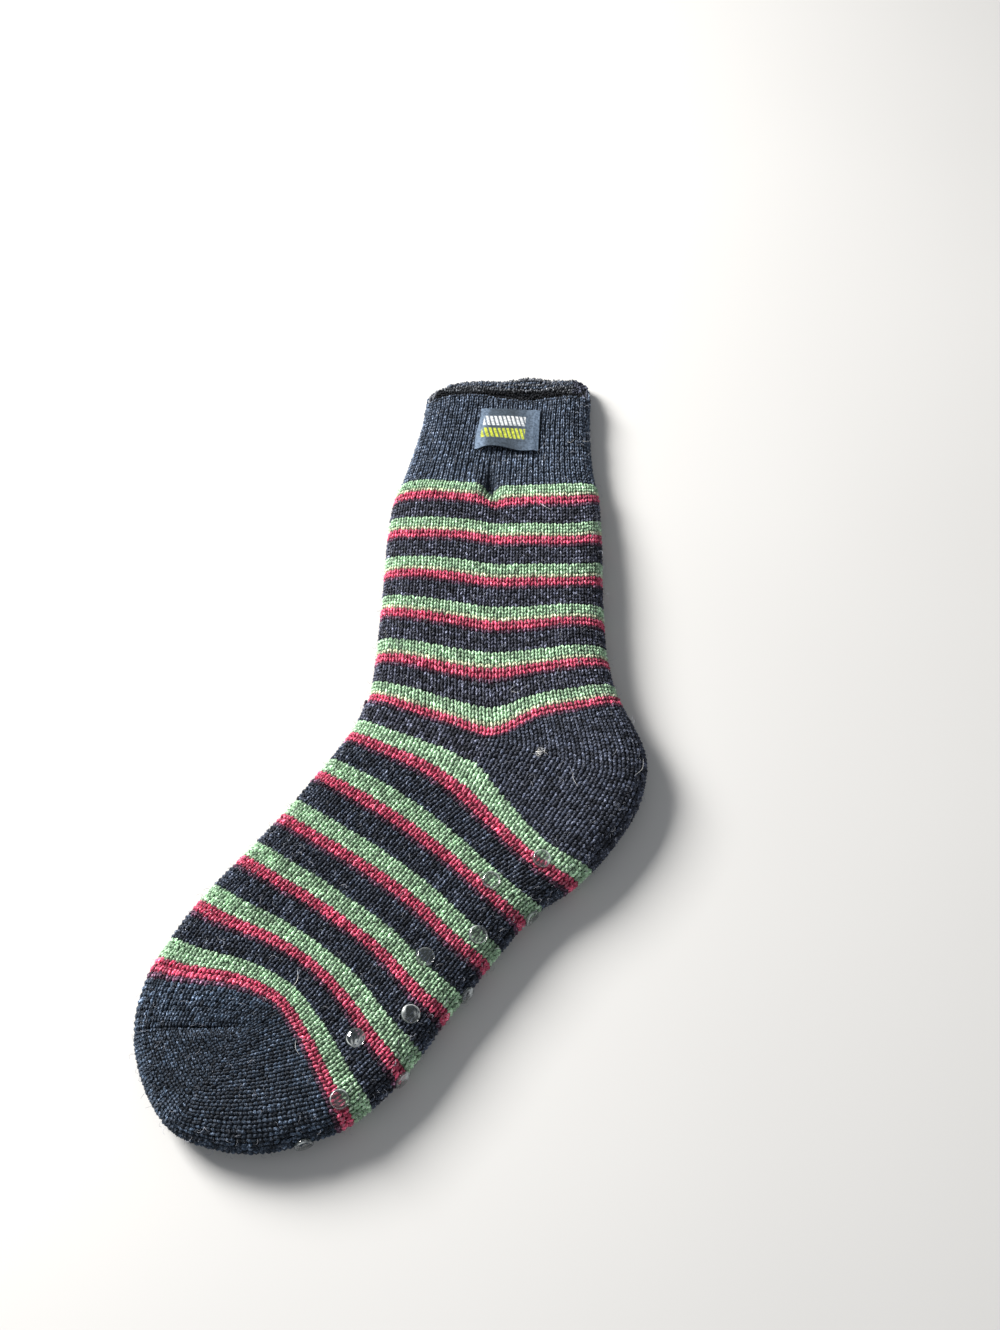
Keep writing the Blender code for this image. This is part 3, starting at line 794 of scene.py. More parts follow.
def dyed_melange(tree):
    """Melange whose colours follow the number of the yarn."""
    dye = maths(tree, "DIVIDE", maths(tree, "ADD", attribute(tree, "dye")["Fac"], 0.5), len(YARNS))
    mixed = node(tree, "ShaderNodeGroup", node_tree=MELANGE)
    for column, socket in ((1, "Yarn"), (2, "Pale fibre")):
        colours = [(i / len(YARNS), row[column]) for i, row in enumerate(YARNS)]
        link(tree, ramp(tree, dye, colours, "CONSTANT"), mixed.inputs[socket])
    return mixed


# Twist of the plies round the yarn and along it, in radians over the yarn's map
PLIES_ROUND = 12.57
PLIES_ALONG = 22.0


def yarn_material():
    material, tree, shader = principled("stitch_yarn", 0.95, 0.25)
    mixed = dyed_melange(tree)
    mixed.inputs["Pale amount"].default_value = 0.55
    mixed.inputs["Dark amount"].default_value = 0.4
    # The tone attribute holds the random tone of each yarn leg times painted shade and painted light
    link(tree, attribute(tree, "tone")["Fac"], mixed.inputs["Tone"])
    link(tree, mixed.outputs["Color"], shader.inputs["Base Color"])
    turns = axes_of(tree, node(tree, "ShaderNodeUVMap", uv_map="yarn").outputs["UV"])
    twist = maths(tree, "ADD", maths(tree, "MULTIPLY", turns["X"], PLIES_ROUND),
                  maths(tree, "MULTIPLY", turns["Y"], PLIES_ALONG))
    plies = maths(tree, "MULTIPLY", maths(tree, "SINE", twist), 0.35)
    height = maths(tree, "ADD", mixed.outputs["Height"], plies)
    bump(tree, shader, height, 0.8, 0.0005)
    sheen(shader, 0.08, 0.5, (0.9, 0.92, 1.0))
    return material


def backing_material():
    material, tree, shader = principled("knit_backing", 0.98, 0.2)
    mixed = dyed_melange(tree)
    mixed.inputs["Pale amount"].default_value = 0.1
    # Painted shade: the backing takes the yarn's dye at a little over a quarter of its brightness, for the shadow
    # between stitches
    mixed.inputs["Tone"].default_value = 0.27
    link(tree, mixed.outputs["Color"], shader.inputs["Base Color"])
    bump(tree, shader, mixed.outputs["Height"], 0.8, 0.0008)
    return material


def lining_material():
    material, tree, shader = principled("brushed_lining", 0.98, 0.2)
    mixed = node(tree, "ShaderNodeGroup", node_tree=MELANGE)
    mixed.inputs["Yarn"].default_value = (*srgb(26, 29, 35), 1.0)
    mixed.inputs["Pale fibre"].default_value = (*srgb(96, 102, 112), 1.0)
    mixed.inputs["Pale amount"].default_value = 0.4
    mixed.inputs["Dark amount"].default_value = 0.8
    link(tree, mixed.outputs["Color"], shader.inputs["Base Color"])
    bump(tree, shader, mixed.outputs["Height"], 1.0, 0.0012)
    sheen(shader, 0.12, 0.6, (0.9, 0.94, 1.0))
    return material


YARN, BACKING, LINING = yarn_material(), backing_material(), lining_material()

# Knitted body under the stitches: a backing outside, dyed like the yarn above it and darkened as painted shade in
# the gaps between stitches, a brushed lining inside, one closed wall. It keeps each BODY_STEP-th row and column of
# the nets
BACKING_INSET = 0.0011
RIM_RADIUS = 0.0015
RIM_STEPS = 7
WELD = 0.00004
BODY_STEP = 2


def stripe_dye(course, black):
    """Yarn of a course, counted from its stripe: red astride the line, green above it, black between stripes.

    The green course next to the red is paler on the leg.
    """
    step = (course - FIRST_STRIPE) % REPEAT
    if step in (0, REPEAT - 1):
        return YARN_CODE["red"]
    if step == REPEAT - 2 and course < LEG_END and black == YARN_CODE["body"]:
        return YARN_CODE["pale_green"]
    if step >= REPEAT - STRIPE_COURSES:
        return YARN_CODE["green"]
    return YARN_CODE["plum"] if step == 1 else black


def backing_dye(name, place, across):
    """Yarn number of the backing at a place of a net."""
    body = YARN_CODE["body"]
    if name == "leg":
        return YARN_CODE["cuff"] if place < CUFF_COURSES else stripe_dye(int(place), body)
    # Painted shade: the foot's black is the darker foot yarn
    if name == "foot":
        return stripe_dye(int(place), YARN_CODE["foot"])
    if name == "instep":
        return stripe_dye(LEG_END + int(place * REPEAT), body)
    deep = (across - 0.5) * 2
    if name == "heel":
        extra = HEEL_SHORT_COURSES * min(1.0, deep / SHORT_SHARE)
        if place <= HEEL_GORE_SHARE:
            course = int(place / HEEL_GORE_SHARE * (HEEL_UPPER_COURSES + extra))
            return YARN_CODE["red"] if course == 0 else YARN_CODE["heel"]
        left = (1 - place) / (1 - HEEL_GORE_SHARE) * (HEEL_LOWER_COURSES + extra)
        in_stripe = left < STRIPE_COURSES
        return stripe_dye(FIRST_STRIPE - 1 - int(left), YARN_CODE["heel"]) if in_stripe else YARN_CODE["heel"]
    first = TOE_TOP_COURSES
    if name == "toe_sole":
        first = (TOE_SOLE_COURSES + TOE_SHORT_COURSES * min(1.0, deep / SHORT_SHARE)) / TOE_GORE_SHARE
    return YARN_CODE["red"] if place * first < 1 else YARN_CODE["toe"]


def thinned(values):
    """The places in a list that the body keeps, with its last one among them."""
    return np.unique(np.append(np.arange(0, len(values), BODY_STEP), len(values) - 1))


def knit_body():
    points, faces, lining, dyes = [], [], [], []

    def add(grid, outward):
        start, (high, wide) = len(points), grid.shape[:2]
        points.extend(grid.reshape(-1, 3))
        made = []
        for i in range(high - 1):
            for j in range(wide - 1):
                a = start + i * wide + j
                quad = (a, a + wide, a + wide + 1, a + 1)
                made.append(quad if outward else quad[::-1])
        return made

    for (name, side), net in NETS.items():
        rows, columns = thinned(net.places), thinned(net.across)
        chosen = np.ix_(rows, columns)
        outer = add(net.lifted(-BACKING_INSET)[chosen], side > 0)
        inner = add(net.lifted(-WALL - CUFF_STEP, step=False)[chosen], side < 0)
        places, across = net.places[rows], net.across[columns]
        places, across = (places[1:] + places[:-1]) / 2, (across[1:] + across[:-1]) / 2
        faces += outer + inner
        lining += [0] * len(outer) + [1] * len(inner)
        dyes += [backing_dye(name, place, wale) for place in places for wale in across] + [0] * len(inner)
    for side in (1, -1):
        net = NETS["leg", side]
        columns = thinned(net.across)
        outer = net.lifted(-BACKING_INSET)[0, columns]
        inner = net.lifted(-WALL - CUFF_STEP, step=False)[0, columns]
        rows = []
        for angle in np.linspace(0.0, math.pi, RIM_STEPS):
            bulge = np.array([0.0, RIM_RADIUS * math.sin(angle), 0.0])
            rows.append(mix(outer, inner, 0.5 - 0.5 * math.cos(angle)) + bulge)
        made = add(np.array(rows), side < 0)
        faces += made
        lining += [1] * len(made)
        dyes += [0] * len(made)
    mesh = new_mesh("knit_body", points, faces)
    mesh.polygons.foreach_set("material_index", lining)
    mesh.attributes.new("dye", "FLOAT", "FACE").data.foreach_set("value", np.array(dyes, dtype=float))
    mesh.update()
    edit = bmesh.new()
    edit.from_mesh(mesh)
    bmesh.ops.remove_doubles(edit, verts=edit.verts, dist=WELD)
    edit.to_mesh(mesh)
    edit.free()
    mesh.shade_smooth()
    body = new_piece("knit_body", mesh, BACKING, LINING)
    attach(body, "root")
    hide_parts("sock")


# Stitches: each is two yarn legs that meet towards the cuff and spread towards the toe. Centre, spread and width are
# shares of a wale, reach and length are shares of a course
LEG_CENTRE = 0.14
LEG_SPREAD = 0.355
LEG_REACH = 0.60
APEX_SINK = 0.0001
FOOT_SINK = 0.0010
YARN_WIDTH = 0.39
YARN_LENGTH = 1.12
YARN_THICKNESS = 0.0016
FLOOR_CLEARANCE = 0.00105
RED_HEIGHT = 1.22
# Above this height SHADED counts
UPPER_FROM = 0.008
# The ribs of the cuff: height of each second wale, and how plump and how far spread the legs are there
RIB_HEIGHT = 0.00008
RIB_PLUMPNESS = 0.90
RIB_SPREAD = 0.73
HEEL_PLUMPNESS = 1.15
TOE_PLUMPNESS = 1.2
# How far yarn legs stray in place, heading, pitch and size, and how uneven their tone is: by stitch, by patch, by leg
STRAY_PLACE = 0.00011
STRAY_HEADING = 0.07
STRAY_PITCH = 0.06
STRAY_SIZE = 0.05
TONE_BY_STITCH = 0.4
TONE_BY_PATCH = 0.25
TONE_BY_LEG = 0.85
TONE_LIMITS = (0.22, 2.6)
LIGHT_LIMITS = (0.1, 1.4)

draws = np.random.default_rng(41)


class Stitches:
    """Yarn legs gathered from the nets, to be made into one piece."""

    def __init__(self, name, plumpness=1.0, spread=1.0):
        self.name = name
        self.plumpness = plumpness
        self.spread = spread
        self.rows = {key: [] for key in ("middle", "heading", "facing", "stretch", "dye", "tone")}

    def add(self, net, place, pitch, across, wale, dye, rib=0.0):
        """Stitches at these places and wales. pitch and wale are their sizes in the net's own measures."""
        count = len(place)
        dye = np.full(count, float(dye)) if np.isscalar(dye) else dye
        unevenness = TONE_SPREAD[dye.astype(int)]
        tone = draws.normal(0.0, TONE_BY_STITCH, count)
        place = place + pitch * draws.normal(0.0, STRAY_PITCH, count)
        for hand in (-1, 1):
            apex, out = net.read(place - LEG_REACH * pitch, across + hand * LEG_CENTRE * self.spread * wale)
            foot, _ = net.read(place + LEG_REACH * pitch, across + hand * LEG_SPREAD * self.spread * wale)
            left, _ = net.read(place, across - 0.5 * wale)
            right, facing = net.read(place, across + 0.5 * wale)
            facing = facing + out
            facing /= np.linalg.norm(facing, axis=1)[:, None]
            apex = apex + facing * (rib - APEX_SINK)
            foot = foot + facing * (rib - FOOT_SINK)
            heading = foot - apex
            length = np.linalg.norm(heading, axis=1)
            width = np.linalg.norm(right - left, axis=1)
            wobble = draws.normal(1.0, STRAY_SIZE, (count, 3))
            wide, thick = width * YARN_WIDTH * self.plumpness, np.full(count, YARN_THICKNESS)
            stretch = np.stack([wide, length * YARN_LENGTH, thick], axis=1)
            middle = (apex + foot) / 2 + draws.normal(0, STRAY_PLACE, (count, 3))
            middle[:, 2] = np.maximum(middle[:, 2], FLOOR_CLEARANCE)
            self.rows["middle"].append(middle)
            self.rows["heading"].append(heading / length[:, None] + draws.normal(0, STRAY_HEADING, (count, 3)))
            self.rows["facing"].append(facing)
            self.rows["stretch"].append(stretch * wobble)
            self.rows["dye"].append(dye)
            # Painted shade from SHADED on upper yarn, and painted light where its share is negative
            lit = np.where(middle[:, 2] > UPPER_FROM, 1.0 - swells(middle[:, :2] - CROSSING, SHADED), 1.0)
            uneven = tone + TONE_BY_PATCH * mottle(middle) + draws.normal(0, TONE_BY_LEG, count)
            tone_here = np.exp(unevenness * uneven - 0.3 * unevenness ** 2)
            self.rows["tone"].append(np.clip(tone_here, *TONE_LIMITS) * np.clip(lit, *LIGHT_LIMITS))

    def carrier(self):
        """Loose points that carry one yarn leg each."""
        data = {key: np.concatenate(value) for key, value in self.rows.items()}
        return carrier_mesh(self.name, data["middle"], {key: data[key] for key in ("heading", "facing", "stretch")},
                            {key: data[key] for key in ("dye", "tone")})


def growth_tree(name, inputs):
    """A geometry tree with these named inputs after its mesh."""
    mesh = ("Geometry", "NodeSocketGeometry")
    return group(name, ((*mesh, None), *inputs), (mesh,), "GeometryNodeTree")


def set_on_points(tree, inward, outward, shape, along, material):
    """One shape on every carrier point, turned to its facing and heading and stretched, as one plain mesh."""
    named = {}
    for name in ("facing", "heading", "stretch"):
        named[name] = node(tree, "GeometryNodeInputNamedAttribute", data_type="FLOAT_VECTOR")
        named[name].inputs["Name"].default_value = name
    turn = node(tree, "FunctionNodeAxesToRotation", primary_axis="Z", secondary_axis=along)
    link(tree, named["facing"].outputs["Attribute"], turn.inputs[0])
    link(tree, named["heading"].outputs["Attribute"], turn.inputs[1])
    placed = node(tree, "GeometryNodeInstanceOnPoints")
    link(tree, inward.outputs["Geometry"], placed.inputs["Points"])
    link(tree, shape, placed.inputs["Instance"])
    link(tree, turn.outputs["Rotation"], placed.inputs["Rotation"])
    link(tree, named["stretch"].outputs["Attribute"], placed.inputs["Scale"])
    whole = node(tree, "GeometryNodeRealizeInstances")
    link(tree, placed.outputs["Instances"], whole.inputs["Geometry"])
    finished = node(tree, "GeometryNodeSetMaterial")
    link(tree, whole.outputs["Geometry"], finished.inputs["Geometry"])
    link(tree, inward.outputs[material], finished.inputs["Material"])
    link(tree, finished.outputs["Geometry"], outward.inputs["Geometry"])
    return tree


def stitch_tree():
    """Geometry nodes: a plump four-sided yarn leg on every carrier point."""
    tree, inward, outward = growth_tree("Yarn legs", (
        ("Sides", "NodeSocketInt", 4), ("Rings", "NodeSocketInt", 4), ("Arch", "NodeSocketFloat", 0.5),
        ("Yarn", "NodeSocketMaterial", None),
    ))
    leg = node(tree, "GeometryNodeMeshUVSphere")
    leg.inputs["Radius"].default_value = 0.5
    link(tree, inward.outputs["Sides"], leg.inputs["Segments"])
    link(tree, inward.outputs["Rings"], leg.inputs["Rings"])
    unwrapped = node(tree, "GeometryNodeStoreNamedAttribute", data_type="FLOAT2", domain="CORNER")
    unwrapped.inputs["Name"].default_value = "yarn"
    link(tree, leg.outputs["Mesh"], unwrapped.inputs["Geometry"])
    link(tree, leg.outputs["UV Map"], unwrapped.inputs["Value"])
    lying = node(tree, "GeometryNodeTransform")
    lying.inputs["Rotation"].default_value = (math.pi / 2, 0.0, 0.0)
    link(tree, unwrapped.outputs["Geometry"], lying.inputs["Geometry"])
    ahead = axes_of(tree, node(tree, "GeometryNodeInputPosition").outputs[0])["Y"]
    square = maths(tree, "MULTIPLY", ahead, ahead)
    drop = maths(tree, "MULTIPLY", maths(tree, "MULTIPLY", square, inward.outputs["Arch"]), -4.0)
    offset = node(tree, "ShaderNodeCombineXYZ")
    link(tree, drop, offset.inputs["Z"])
    arched = node(tree, "GeometryNodeSetPosition")
    link(tree, lying.outputs["Geometry"], arched.inputs["Geometry"])
    link(tree, offset.outputs[0], arched.inputs["Offset"])
    return set_on_points(tree, inward, outward, arched.outputs["Geometry"], "Y", "Yarn")


def grown(name, carrier, tree, settings):
    """The plain mesh that a tree makes of a carrier mesh."""
    carrier_object = bpy.data.objects.new(name + "_carrier", carrier)
    bpy.context.scene.collection.objects.link(carrier_object)
    modifier = carrier_object.modifiers.new("growth", "NODES")
    modifier.node_group = tree
    sockets = {item.name: item.identifier for item in tree.interface.items_tree if item.in_out == "INPUT"}
    for label, value in settings.items():
        modifier[sockets[label]] = value
    graph = bpy.context.evaluated_depsgraph_get()
    mesh = bpy.data.meshes.new_from_object(carrier_object.evaluated_get(graph))
    carrier_object.modifiers.remove(modifier)
    bpy.data.objects.remove(carrier_object, do_unlink=True)
    mesh.name = name
    return mesh


# Free border of a cell, as a share of it
CELL_MARGIN = 0.08


def bake_cells(mesh, count, source):
    """A second map that gives each of the repeated shapes a cell of its own."""
    loops = len(mesh.loops)
    each = loops // count
    local = np.empty(loops * 2)
    mesh.uv_layers[source].data.foreach_get("uv", local)
    local = np.clip(local.reshape(-1, 2), 0.0, 1.0)
    cell = np.arange(loops) // each
    across = math.ceil(math.sqrt(count))
    corner = np.stack([cell % across, cell // across], axis=1)
    placed = (corner + CELL_MARGIN + (1 - 2 * CELL_MARGIN) * local) / across
    layer = mesh.uv_layers.new(name="OFBake")
    layer.data.foreach_set("uv", placed.ravel())


STITCH_TREE = stitch_tree()


def knit_piece(stitches):
    carrier = stitches.carrier()
    count = len(carrier.vertices)
    mesh = grown(stitches.name, carrier, STITCH_TREE, {"Yarn": YARN})
    mesh.shade_smooth()
    bake_cells(mesh, count, "yarn")
    piece = new_piece(stitches.name, mesh)
    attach(piece, "root")


def laid(dyes):
    """Course boundaries as shares of a run of courses, with the red ones a little taller than the others."""
    tall = np.concatenate([[0.0], np.cumsum(np.where(np.asarray(dyes) == YARN_CODE["red"], RED_HEIGHT, 1.0))])
    return tall / tall[-1]


def whole_courses(stitches, name, side, first, last, black):
    """Complete courses across one side of the leg or foot."""
    wales = (np.arange(SIDE_WALES) + 0.5) / SIDE_WALES
    in_cuff = first < CUFF_COURSES
    dyes = [YARN_CODE["cuff"] if in_cuff else stripe_dye(course, black) for course in range(first, last)]
    rib = np.where(np.arange(SIDE_WALES) % 2 == 0, RIB_HEIGHT, -RIB_HEIGHT)[:, None] if in_cuff else 0.0
    bounds = first + (last - first) * laid(dyes)
    for dye, low, high in zip(dyes, bounds[:-1], bounds[1:]):
        place = np.full(SIDE_WALES, (low + high) / 2)
        stitches.add(NETS[name, side], place, high - low, wales, 1.0 / SIDE_WALES, dye, rib)


def wedge(stitches, net, across, start, end, dyes):
    """One wale of a wedge: its stitches between two places of the net."""
    bounds = start + (end - start) * laid(dyes)
    place = (bounds[1:] + bounds[:-1]) / 2
    stitches.add(net, place, np.diff(bounds), np.full(len(dyes), across), 1 / SIDE_WALES, dyes)


def pocket_stitches(stitches, net, share, before, after, short, dye_of):
    """The wales of a heel or toe half, on both sides of its gore."""
    half = SIDE_WALES // 2
    for w in range(half):
        deep = (w + 0.5) / half
        extra = short * min(1.0, deep / SHORT_SHARE)
        across = 0.5 + deep / 2
        wedge(stitches, net, across, 0.0, share, dye_of(round(before + extra), 0))
        wedge(stitches, net, across, share, 1.0, dye_of(round(after + extra), 1))


def heel_dyes(count, lower):
    dyes = np.full(count, float(YARN_CODE["heel"]))
    if lower:
        dyes[-1] = YARN_CODE["red"]
        dyes[-STRIPE_COURSES:-1] = YARN_CODE["green"]
    else:
        dyes[0] = YARN_CODE["red"]
        dyes[1] = YARN_CODE["plum"]
    return dyes


def toe_dyes(count, lower):
    dyes = np.full(count, float(YARN_CODE["toe"]))
    if not lower:
        dyes[0] = YARN_CODE["red"]
        dyes[1] = YARN_CODE["plum"]
    return dyes


def half_courses(stitches, net, dyes):
    """Complete courses of the instep half."""
    half = SIDE_WALES // 2
    wales = (np.arange(half) + 0.5) / SIDE_WALES
    bounds = laid(dyes)
    for dye, low, high in zip(dyes, bounds[:-1], bounds[1:]):
        stitches.add(net, np.full(half, (low + high) / 2), high - low, wales, 1 / SIDE_WALES, dye)


def knit_the_sock():
    cuff = Stitches("cuff_stitches", RIB_PLUMPNESS, RIB_SPREAD)
    for side in (1, -1):
        whole_courses(cuff, "leg", side, 0, CUFF_COURSES, YARN_CODE["cuff"])
    knit_piece(cuff)
    for side, word in ((1, "upper"), (-1, "lower")):
        leg = Stitches("leg_stitches_" + word)
        whole_courses(leg, "leg", side, CUFF_COURSES, LEG_END, YARN_CODE["body"])
        knit_piece(leg)
    heel = Stitches("heel_stitches", HEEL_PLUMPNESS)
    for side in (1, -1):
        half_courses(heel, NETS["instep", side], [stripe_dye(LEG_END + k, YARN_CODE["body"]) for k in range(REPEAT)])
        pocket_stitches(heel, NETS["heel", side], HEEL_GORE_SHARE, HEEL_UPPER_COURSES, HEEL_LOWER_COURSES,
                        HEEL_SHORT_COURSES, heel_dyes)
    knit_piece(heel)
    for side, word in ((1, "upper"), (-1, "lower")):
        foot = Stitches("foot_stitches_" + word)
        # The foot's black is the darker foot yarn: painted shade
        whole_courses(foot, "foot", side, FOOT_START, FOOT_END, YARN_CODE["foot"])
        knit_piece(foot)
    toe = Stitches("toe_stitches", TOE_PLUMPNESS)
    for side in (1, -1):
        half_courses(toe, NETS["toe_top", side], toe_dyes(TOE_TOP_COURSES, 0))
        pocket_stitches(toe, NETS["toe_sole", side], TOE_GORE_SHARE, TOE_SOLE_COURSES, TOE_TURN_COURSES,
                        TOE_SHORT_COURSES, toe_dyes)
    knit_piece(toe)


knit_body()
knit_the_sock()


def on_face(flat, side, lift):
    """Points of the model above places of the pressed sock."""
    run, depth, edge, out = SOCK.locate(flat)
    arc = np.maximum(depth + SOCK.spare, 0.0)
    points = SOCK.skin(run, arc, edge, out, side, -lift)
    if side > 0:
        points[..., 2] += relief(flat) * smooth(arc / SOCK.arc[-1])
    points[..., :2] += CROSSING
    return points


# Rims: rows of yarn laid across the wales on both lips, and down the inner face of the lower one. Side, course,
# how far the row lies level rather than along the rim, lift, thickness, yarn, and 1 where it faces into the sock
# Rows of shade yarn are painted shade: a near-black line along the near lip and the dark inside of the far lip
RIM_ROWS = (
    (1, -0.30, 0.0, -0.0004, 0.0014, "cuff", 0),
    (1, -0.55, 0.0, -0.0016, 0.0012, "shade", 0),
    (-1, -0.35, 0.0, -0.0006, 0.0013, "cuff", 0),
    (-1, -0.62, 0.0, -0.0018, 0.0015, "rim", 1),
    (-1, -0.40, 0.0, -0.0036, 0.0015, "rim", 1),
    (-1, -0.10, 0.2, -0.0043, 0.0014, "rim", 1),
    (-1, 0.15, 0.4, -0.0043, 0.0014, "cuff", 1),
    (-1, 0.40, 0.6, -0.0043, 0.0014, "rim", 1),
    (-1, 0.70, 0.8, -0.0043, 0.0014, "cuff", 1),
    (-1, 1.00, 1.0, -0.0041, 0.0015, "rim", 1),
    (-1, 1.65, 1.0, -0.0044, 0.0014, "lip", 1),
    (-1, 2.30, 1.0, -0.0044, 0.0014, "lip", 1),
    (-1, 2.95, 1.0, -0.0044, 0.0014, "lip", 1),
    (-1, 3.60, 1.0, -0.0044, 0.0014, "lip", 1),
    (-1, 4.25, 1.0, -0.0044, 0.0014, "shade", 1),
    (-1, 4.90, 1.0, -0.0044, 0.0014, "shade", 1),
    (-1, 5.55, 1.0, -0.0044, 0.0014, "shade", 1),
)
RIM_STITCHES = 78
RIM_STITCH_LENGTH = 1.15
# Share of the way across the mouth, and the course past which the inside of its far lip takes the near-black
# shade yarn, painted shade under the near lip
SHADE_PAINTED_FROM = (
    (0.0, 2.4), (0.10, 2.6), (0.33, 2.5), (0.45, 2.0), (0.57, 1.5), (0.69, 1.5), (0.81, 2.5), (0.93, 3.6), (1.0, 4.2),
)
# Share of the way across from which the rows that face into the sock are of the body's darker yarn, painted
# shade in the mouth's corner on the heel side
CORNER_SHADE_PAINTED_FROM = 0.90
# Overhang in mm at which a level row keeps its own course, and the height of a cuff course in mm
LEVEL_AT = 16.6
CUFF_COURSE_HEIGHT = 1.9
RIM_TOP = -0.3
RIM_STRAY_PLACE = 0.00022
RIM_STRAY_HEADING = 0.3
RIM_STRAY_SIZE = 0.12
RIM_TONE = 0.42
RIM_TONE_LIMITS = (0.4, 2.4)


def along_lip(net, values, across):
    """Vectors given at the net's wales, read between them."""
    return np.stack([np.interp(across, net.across, values[:, axis]) for axis in range(3)], axis=1)


def rim_row(net, lift, course, across):
    """Points of a layer of the net at these courses, which may lie a little before the first one."""
    layer = net.lifted(lift)
    ahead = (layer[2] - layer[0]) / (net.places[2] - net.places[0])
    return net.between(layer, course, across) + along_lip(net, ahead, across) * np.minimum(course, 0.0)[:, None]


def rim_stitches():
    """Short lengths of yarn along the lips of the mouth."""
    rim = Stitches("rim_stitches")
    for side, course, level, lift, thick, yarn, inside in RIM_ROWS:
        net = NETS["leg", side]
        across = (np.arange(RIM_STITCHES) + draws.uniform(0.3, 0.7)) / RIM_STITCHES
        half = 0.5 / RIM_STITCHES
        drop = level * (read_across(OVERHANG, across) - LEVEL_AT) / CUFF_COURSE_HEIGHT
        within = (course + drop > RIM_TOP) | (level == 0)
        across, drop = across[within], drop[within]
        start, end = (rim_row(net, lift, course + drop, np.clip(across + k * half, 0.0, 1.0)) for k in (-1, 1))
        out = along_lip(net, net.out[0], across) * (-1 if inside else 1)
        heading = end - start
        length = np.linalg.norm(heading, axis=1)
        count = len(across)
        rim.rows["middle"].append((start + end) / 2 + draws.normal(0, RIM_STRAY_PLACE, (count, 3)))
        rim.rows["heading"].append(heading / length[:, None] + draws.normal(0, RIM_STRAY_HEADING, (count, 3)))
        rim.rows["facing"].append(out)
        size = np.stack([np.full(count, thick), length * RIM_STITCH_LENGTH, np.full(count, thick)], axis=1)
        rim.rows["stretch"].append(size * draws.normal(1.0, RIM_STRAY_SIZE, (count, 3)))
        # Painted shade: near-black yarn deep inside the mouth, the body's darker yarn at its heel-side corner
        dark = (inside > 0) & (course > read_across(SHADE_PAINTED_FROM, across))
        dye = np.where((inside > 0) & (across > CORNER_SHADE_PAINTED_FROM), YARN_CODE["body"], YARN_CODE[yarn])
        rim.rows["dye"].append(np.where(dark, YARN_CODE["shade"], dye).astype(float))
        rim.rows["tone"].append(np.clip(np.exp(draws.normal(0.0, RIM_TONE, count)), *RIM_TONE_LIMITS))
    knit_piece(rim)


rim_stitches()


def grip_material():
    """Clear silicone: see-through in the middle, with a painted bright ring and dark outline for the light that its
    edge bends, and painted streaks of highlight.
    """
    material, tree, shader = principled("clear_silicone", 0.05, 1.0)
    edge = attribute(tree, "edge")["Fac"]
    ripple = noise(tree, 300.0, 1.0, (1.0, 0.4, 1.0))
    uneven = ramp(tree, noise(tree, 140.0, 1.0), ((0.42, 0.15), (0.60, 1.0)))
    # Painted bright ring near the edge, broken up by the uneven noise
    ring = ramp(tree, edge, ((0.80, 0), (0.86, 1), (0.90, 1), (0.95, 0)))
    ring = maths(tree, "MULTIPLY", ring, uneven)
    # Painted white streaks of highlight where the ripple is high, broken up in the same way
    painted_streak = ramp(tree, ripple, ((0.57, 0), (0.66, 1)))
    painted_highlight = maths(tree, "MAXIMUM", ring, maths(tree, "MULTIPLY", painted_streak, uneven))
    # Base colour: dark glass, with the painted highlight in pale grey
    tint = blended(tree, "MIX", painted_highlight, (0.05, 0.065, 0.065), (0.80, 0.86, 0.86))
    link(tree, tint, shader.inputs["Base Color"])
    # See-through in the middle and more opaque towards the edge, where the dark colour makes a painted dark outline
    alpha_with_painted_outline = ramp(tree, edge, ((0.0, 0.20), (0.80, 0.24), (0.97, 0.62)))
    link(tree, maths(tree, "MAXIMUM", alpha_with_painted_outline, maths(tree, "MULTIPLY", painted_highlight, 0.62)), shader.inputs["Alpha"])
    shader.inputs["IOR"].default_value = 1.9
    bump(tree, shader, ripple, 0.45, 0.0014)
    return material


# Rows of grip dots: name, share across the foot, side of the fold, first dot along the foot, number
DOT_ROWS = (
    ("middle", None, 0, 0.183, 4),
    ("upper_near", 0.412, 1, 0.102, 4),
    ("upper_far", 0.319, 1, 0.186, 3),
    ("lower_near", 0.412, -1, 0.102, 4),
    ("lower_far", 0.319, -1, 0.186, 3),
)
DOT_SIDES = 26
# Share of the radius and of the height, from the middle of the underside to the top
DOT_PROFILE = ((0.0, 0.0), (0.6, 0.0), (0.96, 0.0), (1.0, 0.12), (0.99, 0.35), (0.93, 0.58), (0.80, 0.78),
               (0.60, 0.91), (0.34, 0.98), (0.0, 1.0))
DOT_BASE = -0.0003
DOT_RISE = 0.0021
DOT_UNDER_BASE = 0.0001
DOT_UNDER_RISE = 0.0011
# Step that finds the slope of the knit under a dot
SLOPE_STEP = 0.0004


